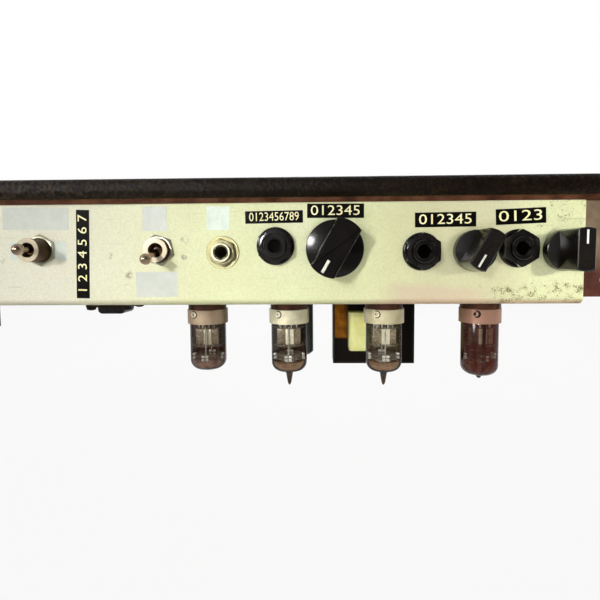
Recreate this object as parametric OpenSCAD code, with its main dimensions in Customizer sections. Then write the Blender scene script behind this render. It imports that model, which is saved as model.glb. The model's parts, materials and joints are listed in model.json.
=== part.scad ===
// Valve amplifier chassis hung under a covered board, seen at its rear control panel.
// Origin: middle of the four ear bolt holes, on the outer face of the ears, at half height.
// X runs along the panel, Y runs from the rear panel to the front panel, Z is up.

/* [Chassis] */
// Width of the folded channel
chassis_w = 482.6; // [470:0.1:520]
// Depth from the rear panel face to the front panel face
chassis_d = 152.4; // [150:0.1:180]
// Height of the two panels
chassis_h = 50.8; // [49:0.1:60]
// Thickness of the deck and panels
sheet_t = 1.6; // [1.2:0.1:1.6]
// Radius of the panels' edges
edge_r = 0.7; // [0.3:0.1:0.7]
// Outside radius of the fold at the panels' lower edge
fold_r = 3.2; // [2.8:0.1:3.4]
// Depth of the fold under the deck
fold_d = 5.6; // [5:0.1:8]
// Outside radius of the deck's bends
bend_r = 2.6; // [2.2:0.1:4]
// Height of the deck's flanges behind the panels
flange_h = 10; // [8:0.5:11]

/* [End plates] */
// Thickness of the end plates
end_t = 1.6; // [1.2:0.1:2]
// Width of each ear beyond the channel
ear_w = 22; // [18:0.5:30]
// How far the ears stand behind the rear panel face
ear_setback = 3.4; // [3.3:0.1:4]
// Height between the bolt holes in an ear
ear_hole_pitch = 30; // [24:0.5:34]
// Distance of the ear bolt holes from the channel end
ear_hole_out = 13; // [11:0.5:14]
// Diameter of the ear bolt holes
ear_hole_d = 5.5; // [4.5:0.1:6]
// Width of the foot on the deck and of the lip under the board
foot_w = 12; // [10:0.5:15]
// Rearmost deck screw of an end plate, from the panel face
foot_screw_rear = 13; // [10:0.5:20]
// Front foot screws, from the front face
foot_screw_front = 17; // [14:0.5:24]
// Gap between an end plate and the channel around it
end_gap = 0.2; // [0.1:0.05:0.4]

/* [Board] */
// Width of the covered board
board_w = 536; // [532:0.5:580]
// How far the board stands out past the rear panel
board_rear = 5; // [3:0.5:12]
// How far the board stands out past the front panel
board_front = 30; // [26:0.5:40]
// Thickness of the covered board
board_t = 10; // [10:0.5:16]
// Radius of the board's covered edges
board_edge_r = 4; // [3:0.1:4.8]
// Thickness of the leathercloth
cloth_t = 0.8; // [0.6:0.1:1.2]
// Thickness of the fibre sheet between chassis and board
fibre_t = 2.4; // [2:0.1:3]
// Rear board bolts, from the panel face
bolt_rear = 30; // [26:0.5:36]
// Front board bolts, from the front face
bolt_front = 32; // [28:0.5:38]
// Diameter of the board bolts
bolt_d = 5; // [4:0.1:5.4]
// Clearance of a bolt in its hole, on the diameter
bolt_gap = 0.5; // [0.3:0.1:0.8]
// Diameter of the countersunk bolt heads
bolt_head_d = 10; // [9:0.5:11]
// Depth of the countersunk bolt heads
bolt_head_h = 2.6; // [2.2:0.1:3]
// Width across the flats of the board nuts
bolt_nut_af = 8; // [7:0.5:8]
// Height of the board nuts
bolt_nut_h = 4; // [3:0.5:5]

/* [Rear panel, measured from the right end of the channel] */
// Mode switch
mode_x = 277.3; // [270:0.1:285]
// Mode switch, height
mode_z = 1.9; // [0:0.1:3]
// Standby switch
standby_x = 215.5; // [212:0.1:235]
// Standby switch, height
standby_z = 1.5; // [0:0.1:3]
// Line jack
line_x = 182.5; // [178:0.1:188]
// Line jack, height
line_z = 0.2; // [-1:0.1:2]
// Footswitch jack
footswitch_x = 155.2; // [153:0.1:158]
// Footswitch jack, height
footswitch_z = 3.2; // [0:0.1:4]
// Reverb knob
reverb_x = 125.3; // [120:0.1:128]
// Reverb knob, height
reverb_z = 1.6; // [0:0.1:3]
// Return jack
return_jack_x = 81.3; // [79:0.1:90]
// Return jack, height
return_jack_z = 0; // [-2:0.1:2]
// Return knob
return_x = 56; // [55:0.1:58]
// Return knob, height
return_z = 0.2; // [-2:0.1:2]
// Send jack
send_jack_x = 33.4; // [32.8:0.1:34]
// Send jack, height
send_jack_z = 1.3; // [0:0.1:2]
// Send knob
send_x = 12; // [11:0.1:12.6]
// Send knob, height
send_z = 0.2; // [-2:0.1:2]

/* [Rear panel, measured from the left end of the channel] */
// Mains inlet
inlet_x = 45; // [40:0.5:50]
// Fuse holder
fuse_x = 95; // [88:0.5:100]
// Speaker jack
speaker_x = 128; // [122:0.5:135]

/* [Front panel] */
// Power switch, from the left end
power_x = 62; // [55:0.5:70]
// Pilot lamp, from the left end
lamp_x = 104; // [98:0.5:115]
// Volume knob, from the right end
volume_x = 150; // [145:0.5:160]
// Tone knob, from the right end
tone_x = 100; // [95:0.5:110]
// Input jack, from the right end
input_x = 62; // [57:0.5:64]

/* [Toggle switches] */
// Diameter of the threaded bush
toggle_bush_d = 11.9; // [11.5:0.1:12.2]
// Length of the bush from the switch case
toggle_bush_l = 12.5; // [12.5:0.1:14]
// How far the mode switch bush stands out
mode_proud = 10.9; // [9:0.1:10.9]
// How far the other bushes stand out
standby_proud = 5.2; // [4.8:0.1:6]
// Bore of the bush
toggle_bore_d = 7.4; // [7:0.1:7.6]
// Width across the flats of the nuts
toggle_nut_af = 14.3; // [14:0.1:15]
// Height of the nuts
toggle_nut_h = 2; // [1.6:0.1:2.2]
// Length of the case along the throw
toggle_case_l = 28; // [26:0.5:30]
// Width of the case
toggle_case_w = 15; // [14:0.5:17]
// Depth of the case
toggle_case_d = 17; // [16:0.5:20]
// Lever pivot below the mouth of the bush
pivot_drop = 4.2; // [4:0.1:4.4]
// Lever length from pivot to the middle of the tip
lever_l = 17; // [15:0.5:20]
// Diameter of the lever at the neck
lever_neck_d = 3; // [2.6:0.1:3.2]
// Diameter of the lever tip
lever_tip_d = 5.5; // [4.5:0.1:6]
// Diameter of the pivot ball
lever_ball_d = 6.6; // [6.2:0.1:6.6]
// Diameter of the pivot pin
pivot_pin_d = 1.6; // [1.2:0.1:1.8]
// Radial clearance of pins and shafts in their bores
running_gap = 0.05; // [0.02:0.01:0.1]
// Throw of a lever to each side
lever_throw = 15; // [11:0.5:15]
// Width of the solder tags
tag_w = 4; // [3:0.5:5]
// Thickness of the solder tags
tag_t = 0.8; // [0.6:0.1:1]
// Length of the solder tags
tag_l = 7; // [5:0.5:8]

/* [Jacks] */
// Bore of every jack
jack_bore_d = 6.5; // [6.45:0.05:6.6]
// Diameter of the threaded nose of a moulded jack
nose_d = 11.6; // [11:0.1:12]
// How far the nose stands out
nose_proud = 6.9; // [6:0.1:8]
// Diameter of the moulded nut's flange
flange_d = 19.3; // [18:0.1:19.6]
// Width of the moulded nut's hexagon across its flats
flange_af = 17.6; // [17:0.1:18.4]
// Thickness of the flange
flange_t = 2; // [1.6:0.1:2.4]
// Diameter of the raised ring of the moulded nut
ring_d = 15; // [14:0.1:16]
// Height of the moulded nut
ring_h = 5; // [4:0.1:5.6]
// Width of a moulded jack's case
jack_case_w = 20; // [18:0.5:20]
// Height of a moulded jack's case
jack_case_h = 18; // [16:0.5:22]
// Depth of a moulded jack's case
jack_case_d = 26; // [22:0.5:30]
// Wall of a moulded jack's case
jack_case_wall = 1.6; // [1.2:0.1:2]
// Diameter of the line jack's bush
line_bush_d = 9.5; // [9:0.1:10]
// How far the line jack's bush stands out
line_proud = 5.2; // [4.6:0.1:6]
// Diameter of the line jack's washer
line_washer_d = 17; // [16:0.1:18]
// Thickness of the line jack's washer
line_washer_t = 0.8; // [0.6:0.1:1]
// Width across the flats of the line jack's nut
line_nut_af = 12.7; // [12:0.1:13.5]
// Height of the line jack's nut
line_nut_h = 2.2; // [2:0.1:2.6]
// Width of the line jack's frame
line_frame_w = 16; // [15:0.5:18]
// Length of the line jack's frame
line_frame_l = 26; // [24:0.5:30]
// Thickness of the line jack's frame and springs
line_frame_t = 1.2; // [1:0.1:1.4]

/* [Potentiometers] */
// Diameter of the small case
pot_small_d = 16.4; // [15:0.1:16.8]
// Diameter of the large case
pot_large_d = 24; // [20:0.5:24]
// Depth of the case
pot_depth = 11; // [9:0.5:13]
// Diameter of the threaded bush
pot_bush_d = 8; // [7.5:0.1:9.4]
// How far the bush stands out
pot_proud = 6; // [5:0.1:6]
// Width across the flats of the nut
pot_nut_af = 11; // [10.6:0.1:11.4]
// Height of the nut
pot_nut_h = 2; // [1.6:0.1:2.4]
// Thickness left behind the shaft
pot_floor = 2; // [1.5:0.1:3]
// Gap between the shaft's end and its case
shaft_end_gap = 0.3; // [0.2:0.05:0.5]
// Diameter of the shaft
shaft_d = 6; // [5.8:0.05:6.35]
// How far the shaft stands out
shaft_proud = 17; // [15:0.5:18]
// Turn of the shaft from stop to stop
pot_turn = 300; // [270:1:320]

/* [Knobs] */
// Gap under the knobs
knob_gap = 2; // [1.5:0.1:2.5]
// Height of the pointer bar above the panel
knob_top = 21.5; // [20:0.1:24]
// Height of the skirt rim above the panel
knob_rim = 7; // [6:0.1:8]
// Rise of the dished shoulder from rim to bar
knob_rise = 1.6; // [1:0.1:2.4]
// Diameter of the small knobs
knob_small_d = 20.6; // [19:0.1:20.8]
// Width of the small knobs' bar
bar_small_w = 8.2; // [7.6:0.1:9]
// Diameter of the large knobs
knob_large_d = 27.8; // [26:0.1:28]
// Width of the large knobs' bar
bar_large_w = 12.4; // [10:0.1:14]
// Bevel of the bar's top edges
bar_bevel = 0.8; // [0.5:0.1:1]
// Width of the pointer groove
groove_w = 1.3; // [1:0.1:1.6]
// Depth of the pointer groove
groove_depth = 0.4; // [0.3:0.05:0.6]
// Length of the pointer groove
groove_l = 7.5; // [6:0.1:8.5]
// Diameter of the hollow under a knob
hollow_d = 14; // [13.6:0.1:14.6]
// Clearance above the bush inside a knob
hollow_gap = 0.6; // [0.4:0.1:0.8]

/* [Valves] */
// Distance of the valve row behind the panel face
valve_y = 47; // [46:0.1:50]
// First small valve, from the right end
valve_1_x = 203.3; // [200:0.1:206]
// Second small valve, from the right end
valve_2_x = 152.1; // [148:0.1:156]
// Third small valve, from the right end
valve_3_x = 92.9; // [88:0.1:96]
// Fourth small valve, from the right end
valve_4_x = 33.6; // [32:0.1:38]
// First output valve, from the left end
output_1_x = 82; // [80:0.5:84]
// Second output valve, from the left end
output_2_x = 122; // [120:0.5:124]
// Diameter of the glass bulbs
bulb_d = 22.2; // [21:0.1:22.4]
// Length of the small bulbs from seat to shoulder top
bulb_l = 38.5; // [37:0.5:42]
// Length of the first bulb, a shorter type
bulb_1_l = 37; // [37:0.5:39]
// Length of the fourth bulb, a longer type
bulb_4_l = 40.5; // [39:0.5:44]
// Length of the output bulbs
output_bulb_l = 58; // [54:0.5:62]
// Length of the exhaust tip
tip_l = 9.5; // [7:0.1:10]
// Length of the first valve's rounded-off tip
tip_1_l = 1.2; // [0.8:0.1:2]
// Length of the fourth valve's short tip
tip_4_l = 3; // [2:0.1:4]
// Wall of the glass
glass_t = 1; // [0.8:0.1:1.2]
// Thickness of the glass base
base_t = 3; // [2.6:0.1:3.4]
// Radius of the bulb's shoulder
shoulder_r = 6; // [5:0.1:7]
// Diameter of the pins
pin_d = 1; // [0.9:0.02:1.1]
// Diameter of the pin circle
pin_circle_d = 11.9; // [11.6:0.1:12.2]
// Length of the pins below the base
pin_l = 6.5; // [6:0.1:7]
// Lower spacer above the seat
spacer_z = 10.6; // [10:0.1:11.4]
// Thickness of the mica spacers
spacer_t = 0.5; // [0.4:0.1:0.8]
// Length of the anodes
anode_l = 10.5; // [9:0.5:11.5]
// Width of one anode
anode_w = 5.4; // [5:0.1:6]
// Depth of one anode
anode_d = 7; // [6:0.1:8]
// Wall of the anodes
anode_t = 0.6; // [0.5:0.1:0.8]
// Diameter of the getter ring
getter_d = 8; // [6:0.1:8.6]
// Height of the outer pair of spacers above the upper one
outer_rise = 6.2; // [5:0.1:6.8]
// Distance between the two outer spacers
outer_pitch = 2.1; // [1.6:0.1:2.6]
// Height of the getter ring above the outer spacers
getter_rise = 1.8; // [1.4:0.1:2]
// Thickness of the support wires
wire_d = 0.9; // [0.8:0.1:1.2]

/* [Valve sockets] */
// Seat of the valve below the deck
seat_drop = 9.6; // [9:0.1:10.4]
// Diameter of the socket body
socket_d = 23; // [22:0.1:23]
// Diameter of the socket neck in the deck
neck_d = 19; // [18:0.1:19.6]
// Height of the socket neck inside the deck
neck_h = 5; // [4:0.1:6]
// Clearance of the neck in its holes
neck_gap = 0.4; // [0.3:0.1:0.6]
// Bore of the pin holes
pin_hole_d = 1.4; // [1.3:0.05:1.5]
// Outside diameter of the shield collar
collar_d = 24.8; // [24.6:0.1:25.4]
// Wall of the shield collar
collar_t = 0.6; // [0.5:0.1:0.7]
// Upper edge of the shield collar below the deck
collar_drop = 8.8; // [8:0.1:9.4]
// Length of the shield collar
collar_l = 8.6; // [8:0.1:10]
// Width of the collar's straps
strap_w = 4; // [3:0.1:5]
// Thickness of the saddle plate
saddle_t = 0.8; // [0.6:0.1:1]
// Distance between the saddle screws
saddle_pitch = 30; // [29.6:0.1:31]
// Angle of the collar's eyelets from the rear
lug_angle = -33; // [-40:1:-25]
// Diameter of the eyelets
lug_d = 3.9; // [3.4:0.1:4.2]
// Hole of the eyelets
lug_hole_d = 1.8; // [1.6:0.1:2.2]
// Middle of the eyelets below the collar's upper edge
lug_drop = 2.6; // [2.4:0.1:4]
// How far an eyelet stands out, from the middle of the collar's wall
lug_rise = 0.7; // [0.5:0.1:1]

/* [Deck screws] */
// Diameter of the deck screws
screw_d = 3; // [2.8:0.1:3.2]
// Diameter of the screw heads
screw_head_d = 5.8; // [5.4:0.1:6.2]
// Height of the screw heads
screw_head_h = 2.2; // [1.8:0.1:2.6]
// Width across the flats of the screw nuts
screw_nut_af = 5.5; // [5.2:0.1:6]
// Height of the screw nuts
screw_nut_h = 2.4; // [2:0.1:2.8]
// Clearance of a screw in its hole, on the diameter
screw_gap = 0.4; // [0.3:0.05:0.5]

/* [Transformers and choke] */
// Lamination unit of the output transformer
output_leg = 9.5; // [9:0.1:10]
// Stack of the output transformer
output_stack = 20; // [18:0.5:22]
// Output transformer, from the right end
output_tr_x = 93; // [90:0.5:96]
// Middle of the output transformer behind the panel face
output_tr_y = 104; // [102:0.5:106]
// Gap of the output transformer under the deck
output_tr_drop = 6.7; // [6:0.1:8]
// Thickness of the transformer bracket
bracket_t = 1.4; // [1.2:0.1:1.6]
// Length of the bracket's feet
bracket_foot = 10; // [9:0.5:12]
// Lamination unit of the power transformer
power_leg = 11.8; // [11.6:0.1:12.2]
// Stack of the power transformer
power_stack = 32; // [28:0.5:36]
// Power transformer, from the left end
power_tr_x = 50; // [49:0.5:52]
// Middle of the power transformer behind the panel face
power_tr_y = 95; // [94:0.5:99]
// Wall of the transformer cover
cover_t = 1.2; // [1:0.1:1.6]
// Lamination unit of the choke
choke_leg = 4.8; // [4.8:0.1:5.2]
// Stack of the choke
choke_stack = 9; // [8:0.5:10]
// Choke, from the right end
choke_x = 272; // [268:0.5:276]
// Middle of the choke behind the panel face
choke_y = 68; // [64:0.5:72]
// Clearance between a winding and its laminations
winding_gap = 0.4; // [0.3:0.1:0.6]
// Corner radius of the windings
winding_r = 3; // [2:0.1:4]

/* [Filter capacitor] */
// Diameter of the can
can_d = 25; // [22:0.5:26]
// Length of the can below the deck
can_l = 46; // [40:0.5:50]
// Diameter of the can's neck in the deck
can_neck_d = 19; // [16:0.5:20]
// Filter capacitor, from the right end
can_x = 150; // [145:0.5:155]
// Filter capacitor behind the panel face
can_y = 88; // [84:0.5:92]
// Thickness of the clamp
clamp_t = 1; // [0.8:0.1:1.2]
// Height of the clamp ring
clamp_h = 9; // [7:0.5:12]
// Distance between the clamp screws
clamp_pitch = 36; // [35:0.5:40]

/* [Mains inlet, fuse holder and lamp] */
// Width of the inlet's flange
inlet_flange_w = 50; // [48:0.5:52]
// Height of the inlet's flange
inlet_flange_h = 22.5; // [22:0.5:26]
// Thickness of the inlet's flange
inlet_flange_t = 3; // [2.4:0.1:3.4]
// Width of the inlet's body
inlet_body_w = 27; // [26:0.5:28]
// Height of the inlet's body
inlet_body_h = 19.6; // [19:0.1:20.6]
// Depth of the inlet's body behind the panel
inlet_body_d = 18; // [16:0.5:20]
// Wall of the inlet's cavity
inlet_wall = 1.6; // [1.2:0.1:1.8]
// Depth of the inlet's cavity
inlet_cavity = 16; // [15:0.5:17]
// Length of the blades in the cavity
blade_l = 9; // [8:0.5:10]
// Diameter of the fuse holder's body
fuse_body_d = 12.7; // [12:0.1:13]
// Diameter of the fuse cap
fuse_cap_d = 16; // [15:0.1:17]
// Height of the fuse cap
fuse_cap_h = 9; // [8:0.1:11]
// Gap around the fuse cap
fuse_cap_gap = 0.3; // [0.2:0.05:0.5]
// Thickness of the fuse holder's flange
fuse_flange_t = 1.6; // [1.2:0.1:2]
// Bore of the fuse holder
fuse_bore_d = 7; // [6.6:0.1:7.4]
// Depth of the fuse holder behind the panel
fuse_depth = 34; // [30:0.5:38]
// Diameter of the lamp's bezel
lamp_d = 17; // [16:0.1:18]
// Diameter of the lamp's body
lamp_body_d = 12.5; // [12:0.1:13]

/* [Circuit board] */
// Width of the circuit board
pcb_w = 200; // [190:0.5:202]
// Depth of the circuit board
pcb_d = 36; // [32:0.5:38]
// Thickness of the circuit board
pcb_t = 2.4; // [2:0.1:3]
// Middle of the circuit board, from the right end
pcb_x = 150; // [148:0.5:152]
// Middle of the circuit board behind the panel face
pcb_y = 96; // [94:0.5:98]
// Height of the posts under the circuit board
post_h = 14; // [13.6:0.1:18]
// Diameter of the posts
post_d = 7; // [6:0.1:8]
// Distance between neighbouring parts on the circuit board
part_pitch = 14; // [13:0.5:16]
// Diameter of the board's capacitors
capacitor_d = 9; // [7:0.5:10]
// Length of the board's capacitors
capacitor_l = 22; // [18:0.5:24]
// Diameter of the board's resistors
resistor_d = 4.4; // [3:0.1:5]
// Length of the board's resistors
resistor_l = 12; // [9:0.5:14]
// Diameter of the parts' leads
lead_d = 0.9; // [0.7:0.1:1.1]
// How much shorter than the board the leads reach
lead_inset = 6; // [4:0.5:8]

/* [Hidden] */
$fn = 48;
panel_y = -ear_setback;
deck_z = -chassis_h / 2;
deck_top = deck_z + sheet_t;
board_z = chassis_h / 2 + fibre_t;
right_end = chassis_w / 2;
ear_hole_x = right_end + ear_hole_out;
row_y = panel_y + valve_y;
eps = 0.01;
min_turn = -pot_turn / 2;

function from_right(d) = right_end - d;
function from_left(d) = d - right_end;

small_tips = [tip_1_l, tip_l, tip_l, tip_4_l];
small_lengths = [bulb_1_l, bulb_l, bulb_l, bulb_4_l];
small_valves = [for (d = [valve_1_x, valve_2_x, valve_3_x, valve_4_x]) from_right(d)];
output_valves = [from_left(output_1_x), from_left(output_2_x)];
all_valves = concat(small_valves, output_valves);
saddle_screws = [for (x = all_valves, s = [-1, 1]) [x + s * saddle_pitch / 2, row_y]];
foot_x = right_end - end_t - foot_w / 2;
foot_screw_y = [panel_y + foot_screw_rear, panel_y + chassis_d - foot_screw_front];
foot_screws = [for (s = [-1, 1], y = foot_screw_y) [s * foot_x, y]];
can_at = [from_right(can_x), panel_y + can_y];
clamp_screws = [for (s = [-1, 1]) can_at + [s * clamp_pitch / 2, 0]];
output_tr_at = [from_right(output_tr_x), panel_y + output_tr_y];
bracket_half = 3 * output_leg + bracket_t;
bracket_screw_x = bracket_half + bracket_foot / 2;
bracket_screws = [for (s = [-1, 1]) output_tr_at + [s * bracket_screw_x, 0]];
power_tr_at = [from_left(power_tr_x), panel_y + power_tr_y];
choke_at = [from_right(choke_x), panel_y + choke_y];
board_bolt_y = [panel_y + bolt_rear, panel_y + chassis_d - bolt_front];
board_bolts_at = [for (s = [-1, 1], y = board_bolt_y) [s * foot_x, y]];
pot_bore_d = shaft_d + 2 * running_gap;
// Controls as [x, z] on their panel
reverb_at = [from_right(reverb_x), reverb_z];
return_at = [from_right(return_x), return_z];
send_at = [from_right(send_x), send_z];
volume_at = [from_right(volume_x), 0];
tone_at = [from_right(tone_x), 0];
rear_jacks = [
  [from_right(footswitch_x), footswitch_z],
  [from_right(return_jack_x), return_jack_z],
  [from_right(send_jack_x), send_jack_z],
  [from_left(speaker_x), 0],
];
input_at = [from_right(input_x), 0];
line_at = [from_right(line_x), line_z];
mode_at = [from_right(mode_x), mode_z];
standby_at = [from_right(standby_x), standby_z];
power_at = [from_left(power_x), 0];
inlet_at = [from_left(inlet_x), 0];
fuse_at = [from_left(fuse_x), 0];
lamp_at = [from_left(lamp_x), 0];
inlet_screw_x = (inlet_flange_w + inlet_body_w) / 4;

// Places a part modelled with +Z pointing out of the rear panel
module on_rear(at) {
  translate([at[0], panel_y, at[1]]) rotate([90, 0, 0]) children();
}

// Places a part modelled with +Z pointing out of the front panel
module on_front(at) {
  translate([at[0], panel_y + chassis_d, at[1]]) rotate([90, 0, 180]) children();
}

// Places a part modelled with +Z pointing down from the deck's outer face
module under_deck(at) {
  translate([at[0], at[1], deck_z]) mirror([0, 0, 1]) children();
}

// Mirrors a right-hand part to the left end
module mirrored(side) {
  if (side < 0) mirror([1, 0, 0]) children();
  else children();
}

// Runs an outline drawn in Y and Z along X
module along_x(l) {
  translate([-l / 2, 0, 0]) rotate([90, 0, 90]) linear_extrude(l) children();
}

module round_rect(w, h, r) {
  square([w - 2 * r, h], center = true);
  square([w, h - 2 * r], center = true);
  for (x = [-1, 1], y = [-1, 1]) translate([x * (w / 2 - r), y * (h / 2 - r)]) circle(r);
}

module round_plate(w, h, r, t) {
  linear_extrude(t) round_rect(w, h, r);
}

module hex(af, h) {
  cylinder(d = af / cos(30), h = h, $fn = 6);
}

module ring(od, id, h) {
  difference() {
    cylinder(d = od, h = h);
    translate([0, 0, -eps]) cylinder(d = id, h = h + 2 * eps);
  }
}

// Hole through a panel, drawn from outside
module panel_hole(d) {
  translate([0, 0, -3 * sheet_t]) cylinder(d = d, h = 6 * sheet_t);
}

// Deck with a low flange turned up behind each panel
module deck_outline() {
  mid = panel_y + chassis_d / 2;
  inside = chassis_d - 2 * sheet_t;
  difference() {
    translate([mid, 0]) round_rect(inside, chassis_h, bend_r);
    translate([mid, 0]) round_rect(inside - 2 * sheet_t, chassis_h - 2 * sheet_t, bend_r - sheet_t);
    translate([mid, flange_h]) square([chassis_d, chassis_h], center = true);
  }
}

module chassis() {
  color("#b9b6a0") difference() {
    along_x(chassis_w) deck_outline();
    for (x = all_valves) under_deck([x, row_y]) panel_hole(neck_d + 2 * neck_gap);
    for (at = concat(saddle_screws, foot_screws, clamp_screws, bracket_screws))
      under_deck(at) panel_hole(screw_d + screw_gap);
    under_deck(power_tr_at) lay_down_cut(power_leg);
    under_deck(choke_at) lay_down_cut(choke_leg);
    under_deck(can_at) panel_hole(can_neck_d + screw_gap);
  }
}

// Strip of sheet seen edge-on, rounded at its far end
module sheet_strip(l) {
  square([sheet_t, l - edge_r]);
  translate([edge_r, 0]) square([sheet_t - 2 * edge_r, l]);
  for (x = [edge_r, sheet_t - edge_r]) translate([x, l - edge_r]) circle(edge_r);
}

// Section of a panel: flat face, spot-welded to the deck's flange, with its lower edge folded under the deck
module panel_section() {
  corner = fold_r - sheet_t - chassis_h / 2;
  translate([0, corner]) sheet_strip(chassis_h / 2 - corner);
  translate([fold_r, corner]) intersection() {
    difference() {
      circle(fold_r);
      circle(fold_r - sheet_t);
    }
    translate([-fold_r, -fold_r]) square(fold_r);
  }
  translate([fold_r, corner + sheet_t - fold_r]) rotate(-90) sheet_strip(fold_d - fold_r);
}

module rear_panel() {
  color("#e2e4bc") difference() {
    along_x(chassis_w) translate([panel_y, 0]) panel_section();
    for (at = [mode_at, standby_at]) on_rear(at) panel_hole(toggle_bush_d + screw_gap);
    for (at = rear_jacks) on_rear(at) panel_hole(nose_d + screw_gap);
    on_rear(line_at) panel_hole(line_bush_d + screw_gap);
    for (at = [reverb_at, return_at, send_at]) on_rear(at) panel_hole(pot_bush_d + screw_gap);
    on_rear(fuse_at) panel_hole(fuse_body_d + screw_gap);
    on_rear(inlet_at) {
      translate([0, 0, -3 * sheet_t]) linear_extrude(6 * sheet_t)
        square([inlet_body_w + screw_gap, inlet_body_h + screw_gap], center = true);
      for (x = [-1, 1]) translate([x * inlet_screw_x, 0, 0]) panel_hole(screw_d + screw_gap);
    }
  }
}

module front_panel() {
  color("#e2e4bc") difference() {
    along_x(chassis_w) translate([panel_y + chassis_d, 0]) mirror([1, 0]) panel_section();
    on_front(power_at) panel_hole(toggle_bush_d + screw_gap);
    on_front(lamp_at) panel_hole(lamp_body_d + screw_gap);
    on_front(input_at) panel_hole(nose_d + screw_gap);
    for (at = [volume_at, tone_at]) on_front(at) panel_hole(pot_bush_d + screw_gap);
  }
}

// Slot in the deck for the winding of a transformer that lies flat, and its corner bolts
module lay_down_cut(leg) {
  translate([0, 0, -3 * sheet_t])
    linear_extrude(6 * sheet_t) square([4 * leg + 1, 3 * leg + 1], center = true);
  for (at = corner_bolts(leg)) translate(at) panel_hole(screw_d + screw_gap);
}

function corner_bolts(leg) = [for (x = [-1, 1], y = [-1, 1]) [x * 2.5 * leg, y * 2 * leg, 0]];

// Web that closes the end, with an ear turned out at the rear, a foot on the deck and a lip under the board
module end_plate(side) {
  top = chassis_h / 2;
  web_d = chassis_d - ear_setback - 2 * sheet_t - end_gap;
  web_h = chassis_h - sheet_t - end_gap;
  in_x = right_end - end_t;
  foot_d = web_d - end_t - 2 * bend_r;
  mirrored(side) difference() {
    union() {
      translate([in_x, end_t, top - web_h]) cube([end_t, web_d - end_t, web_h]);
      translate([in_x, 0, top - web_h]) cube([ear_w + end_t, end_t, web_h]);
      for (z = [deck_top, top - end_t]) translate([in_x - foot_w, end_t + bend_r, z])
        cube([foot_w + end_t, foot_d, end_t]);
    }
    for (z = [-1, 1]) translate([ear_hole_x, -1, z * ear_hole_pitch / 2])
      rotate([-90, 0, 0]) cylinder(d = ear_hole_d, h = end_t + 2);
    for (y = foot_screw_y)
      translate([foot_x, y, deck_z]) cylinder(d = screw_d + screw_gap, h = 3 * end_t);
    for (y = board_bolt_y)
      translate([foot_x, y, 0]) cylinder(d = bolt_d + bolt_gap, h = chassis_h);
  }
}

module end_plates() {
  color("#6e5244") for (side = [-1, 1]) end_plate(side);
}

// Pan head screw up through the deck with a nut on top; grip is what lies under the deck
module deck_screw(grip, nut_on) {
  translate([0, 0, grip]) intersection() {
    cylinder(d = screw_head_d, h = screw_head_h);
    translate([0, 0, screw_head_h - screw_head_d]) sphere(d = 2 * screw_head_d);
  }
  translate([0, 0, -nut_on - screw_nut_h]) cylinder(d = screw_d, h = nut_on + screw_nut_h + grip);
  translate([0, 0, -nut_on - screw_nut_h]) hex(screw_nut_af, screw_nut_h);
}

// Countersunk screw of the mains inlet with a nut behind the panel
module inlet_screw() {
  translate([0, 0, -sheet_t - screw_nut_h]) {
    cylinder(d = screw_d, h = sheet_t + screw_nut_h + inlet_flange_t);
    hex(screw_nut_af, screw_nut_h);
  }
  cylinder(d1 = screw_d, d2 = screw_head_d - screw_gap, h = inlet_flange_t);
}

// Flush bolt through board, fibre sheet and end plate lip, with a nut underneath
module board_bolt() {
  grip = end_t + fibre_t + board_t;
  translate([0, 0, grip - bolt_head_h]) cylinder(d1 = bolt_d, d2 = bolt_head_d, h = bolt_head_h);
  translate([0, 0, -bolt_nut_h]) cylinder(d = bolt_d, h = grip + bolt_nut_h - bolt_head_h + eps);
  translate([0, 0, -bolt_nut_h]) hex(bolt_nut_af, bolt_nut_h);
}

module screws_and_bolts() {
  color("silver") {
    for (at = board_bolts_at) translate([at[0], at[1], chassis_h / 2 - end_t]) board_bolt();
    for (x = [-1, 1]) on_rear(inlet_at) translate([x * inlet_screw_x, 0, 0]) inlet_screw();
    for (at = saddle_screws) under_deck(at) deck_screw(saddle_t, sheet_t);
    for (at = foot_screws) under_deck(at) deck_screw(0, sheet_t + end_t);
    for (at = clamp_screws) under_deck(at) deck_screw(clamp_t, sheet_t);
    for (at = bracket_screws) under_deck(at) deck_screw(bracket_t, sheet_t);
    for (at = corner_bolts(power_leg))
      under_deck(power_tr_at) translate(at) deck_screw(power_stack + cover_t, sheet_t);
    for (at = corner_bolts(choke_leg))
      under_deck(choke_at) translate(at) deck_screw(choke_stack, sheet_t);
  }
}

module fibre_sheet() {
  w = chassis_w + 2 * ear_w;
  color("#5a3a2a") difference() {
    translate([-w / 2, panel_y, chassis_h / 2]) cube([w, chassis_d, fibre_t]);
    board_bolt_holes();
  }
}

// Bolt holes through fibre sheet and board, countersunk at the top
module board_bolt_holes() {
  top = board_z + board_t;
  for (at = board_bolts_at) translate([at[0], at[1], 0]) {
    cylinder(d = bolt_d + bolt_gap, h = top + 1);
    translate([0, 0, top - bolt_head_h])
      cylinder(d1 = bolt_d + bolt_gap, d2 = bolt_head_d + bolt_gap, h = bolt_head_h + eps);
  }
}

// Board with every edge rounded, standing on Z = 0
module rounded_board(inset) {
  r = board_edge_r - inset;
  d = board_rear + chassis_d + board_front;
  mid_y = panel_y - board_rear + d / 2;
  intersection() {
    along_x(board_w - 2 * inset) translate([mid_y, board_t / 2])
      round_rect(d - 2 * inset, board_t - 2 * inset, r);
    translate([0, mid_y + d / 2, board_t / 2]) rotate([90, 0, 0])
      linear_extrude(d) round_rect(board_w - 2 * inset, board_t - 2 * inset, r);
  }
}

// Plywood core: inset by the cloth, but bare underneath inside the turned-in edges
module board_core() {
  d = board_rear + chassis_d + board_front;
  rounded_board(cloth_t);
  translate([-board_w / 2 + board_edge_r, panel_y - board_rear + board_edge_r, 0])
    cube([board_w - 2 * board_edge_r, d - 2 * board_edge_r, board_t / 2]);
}

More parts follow.
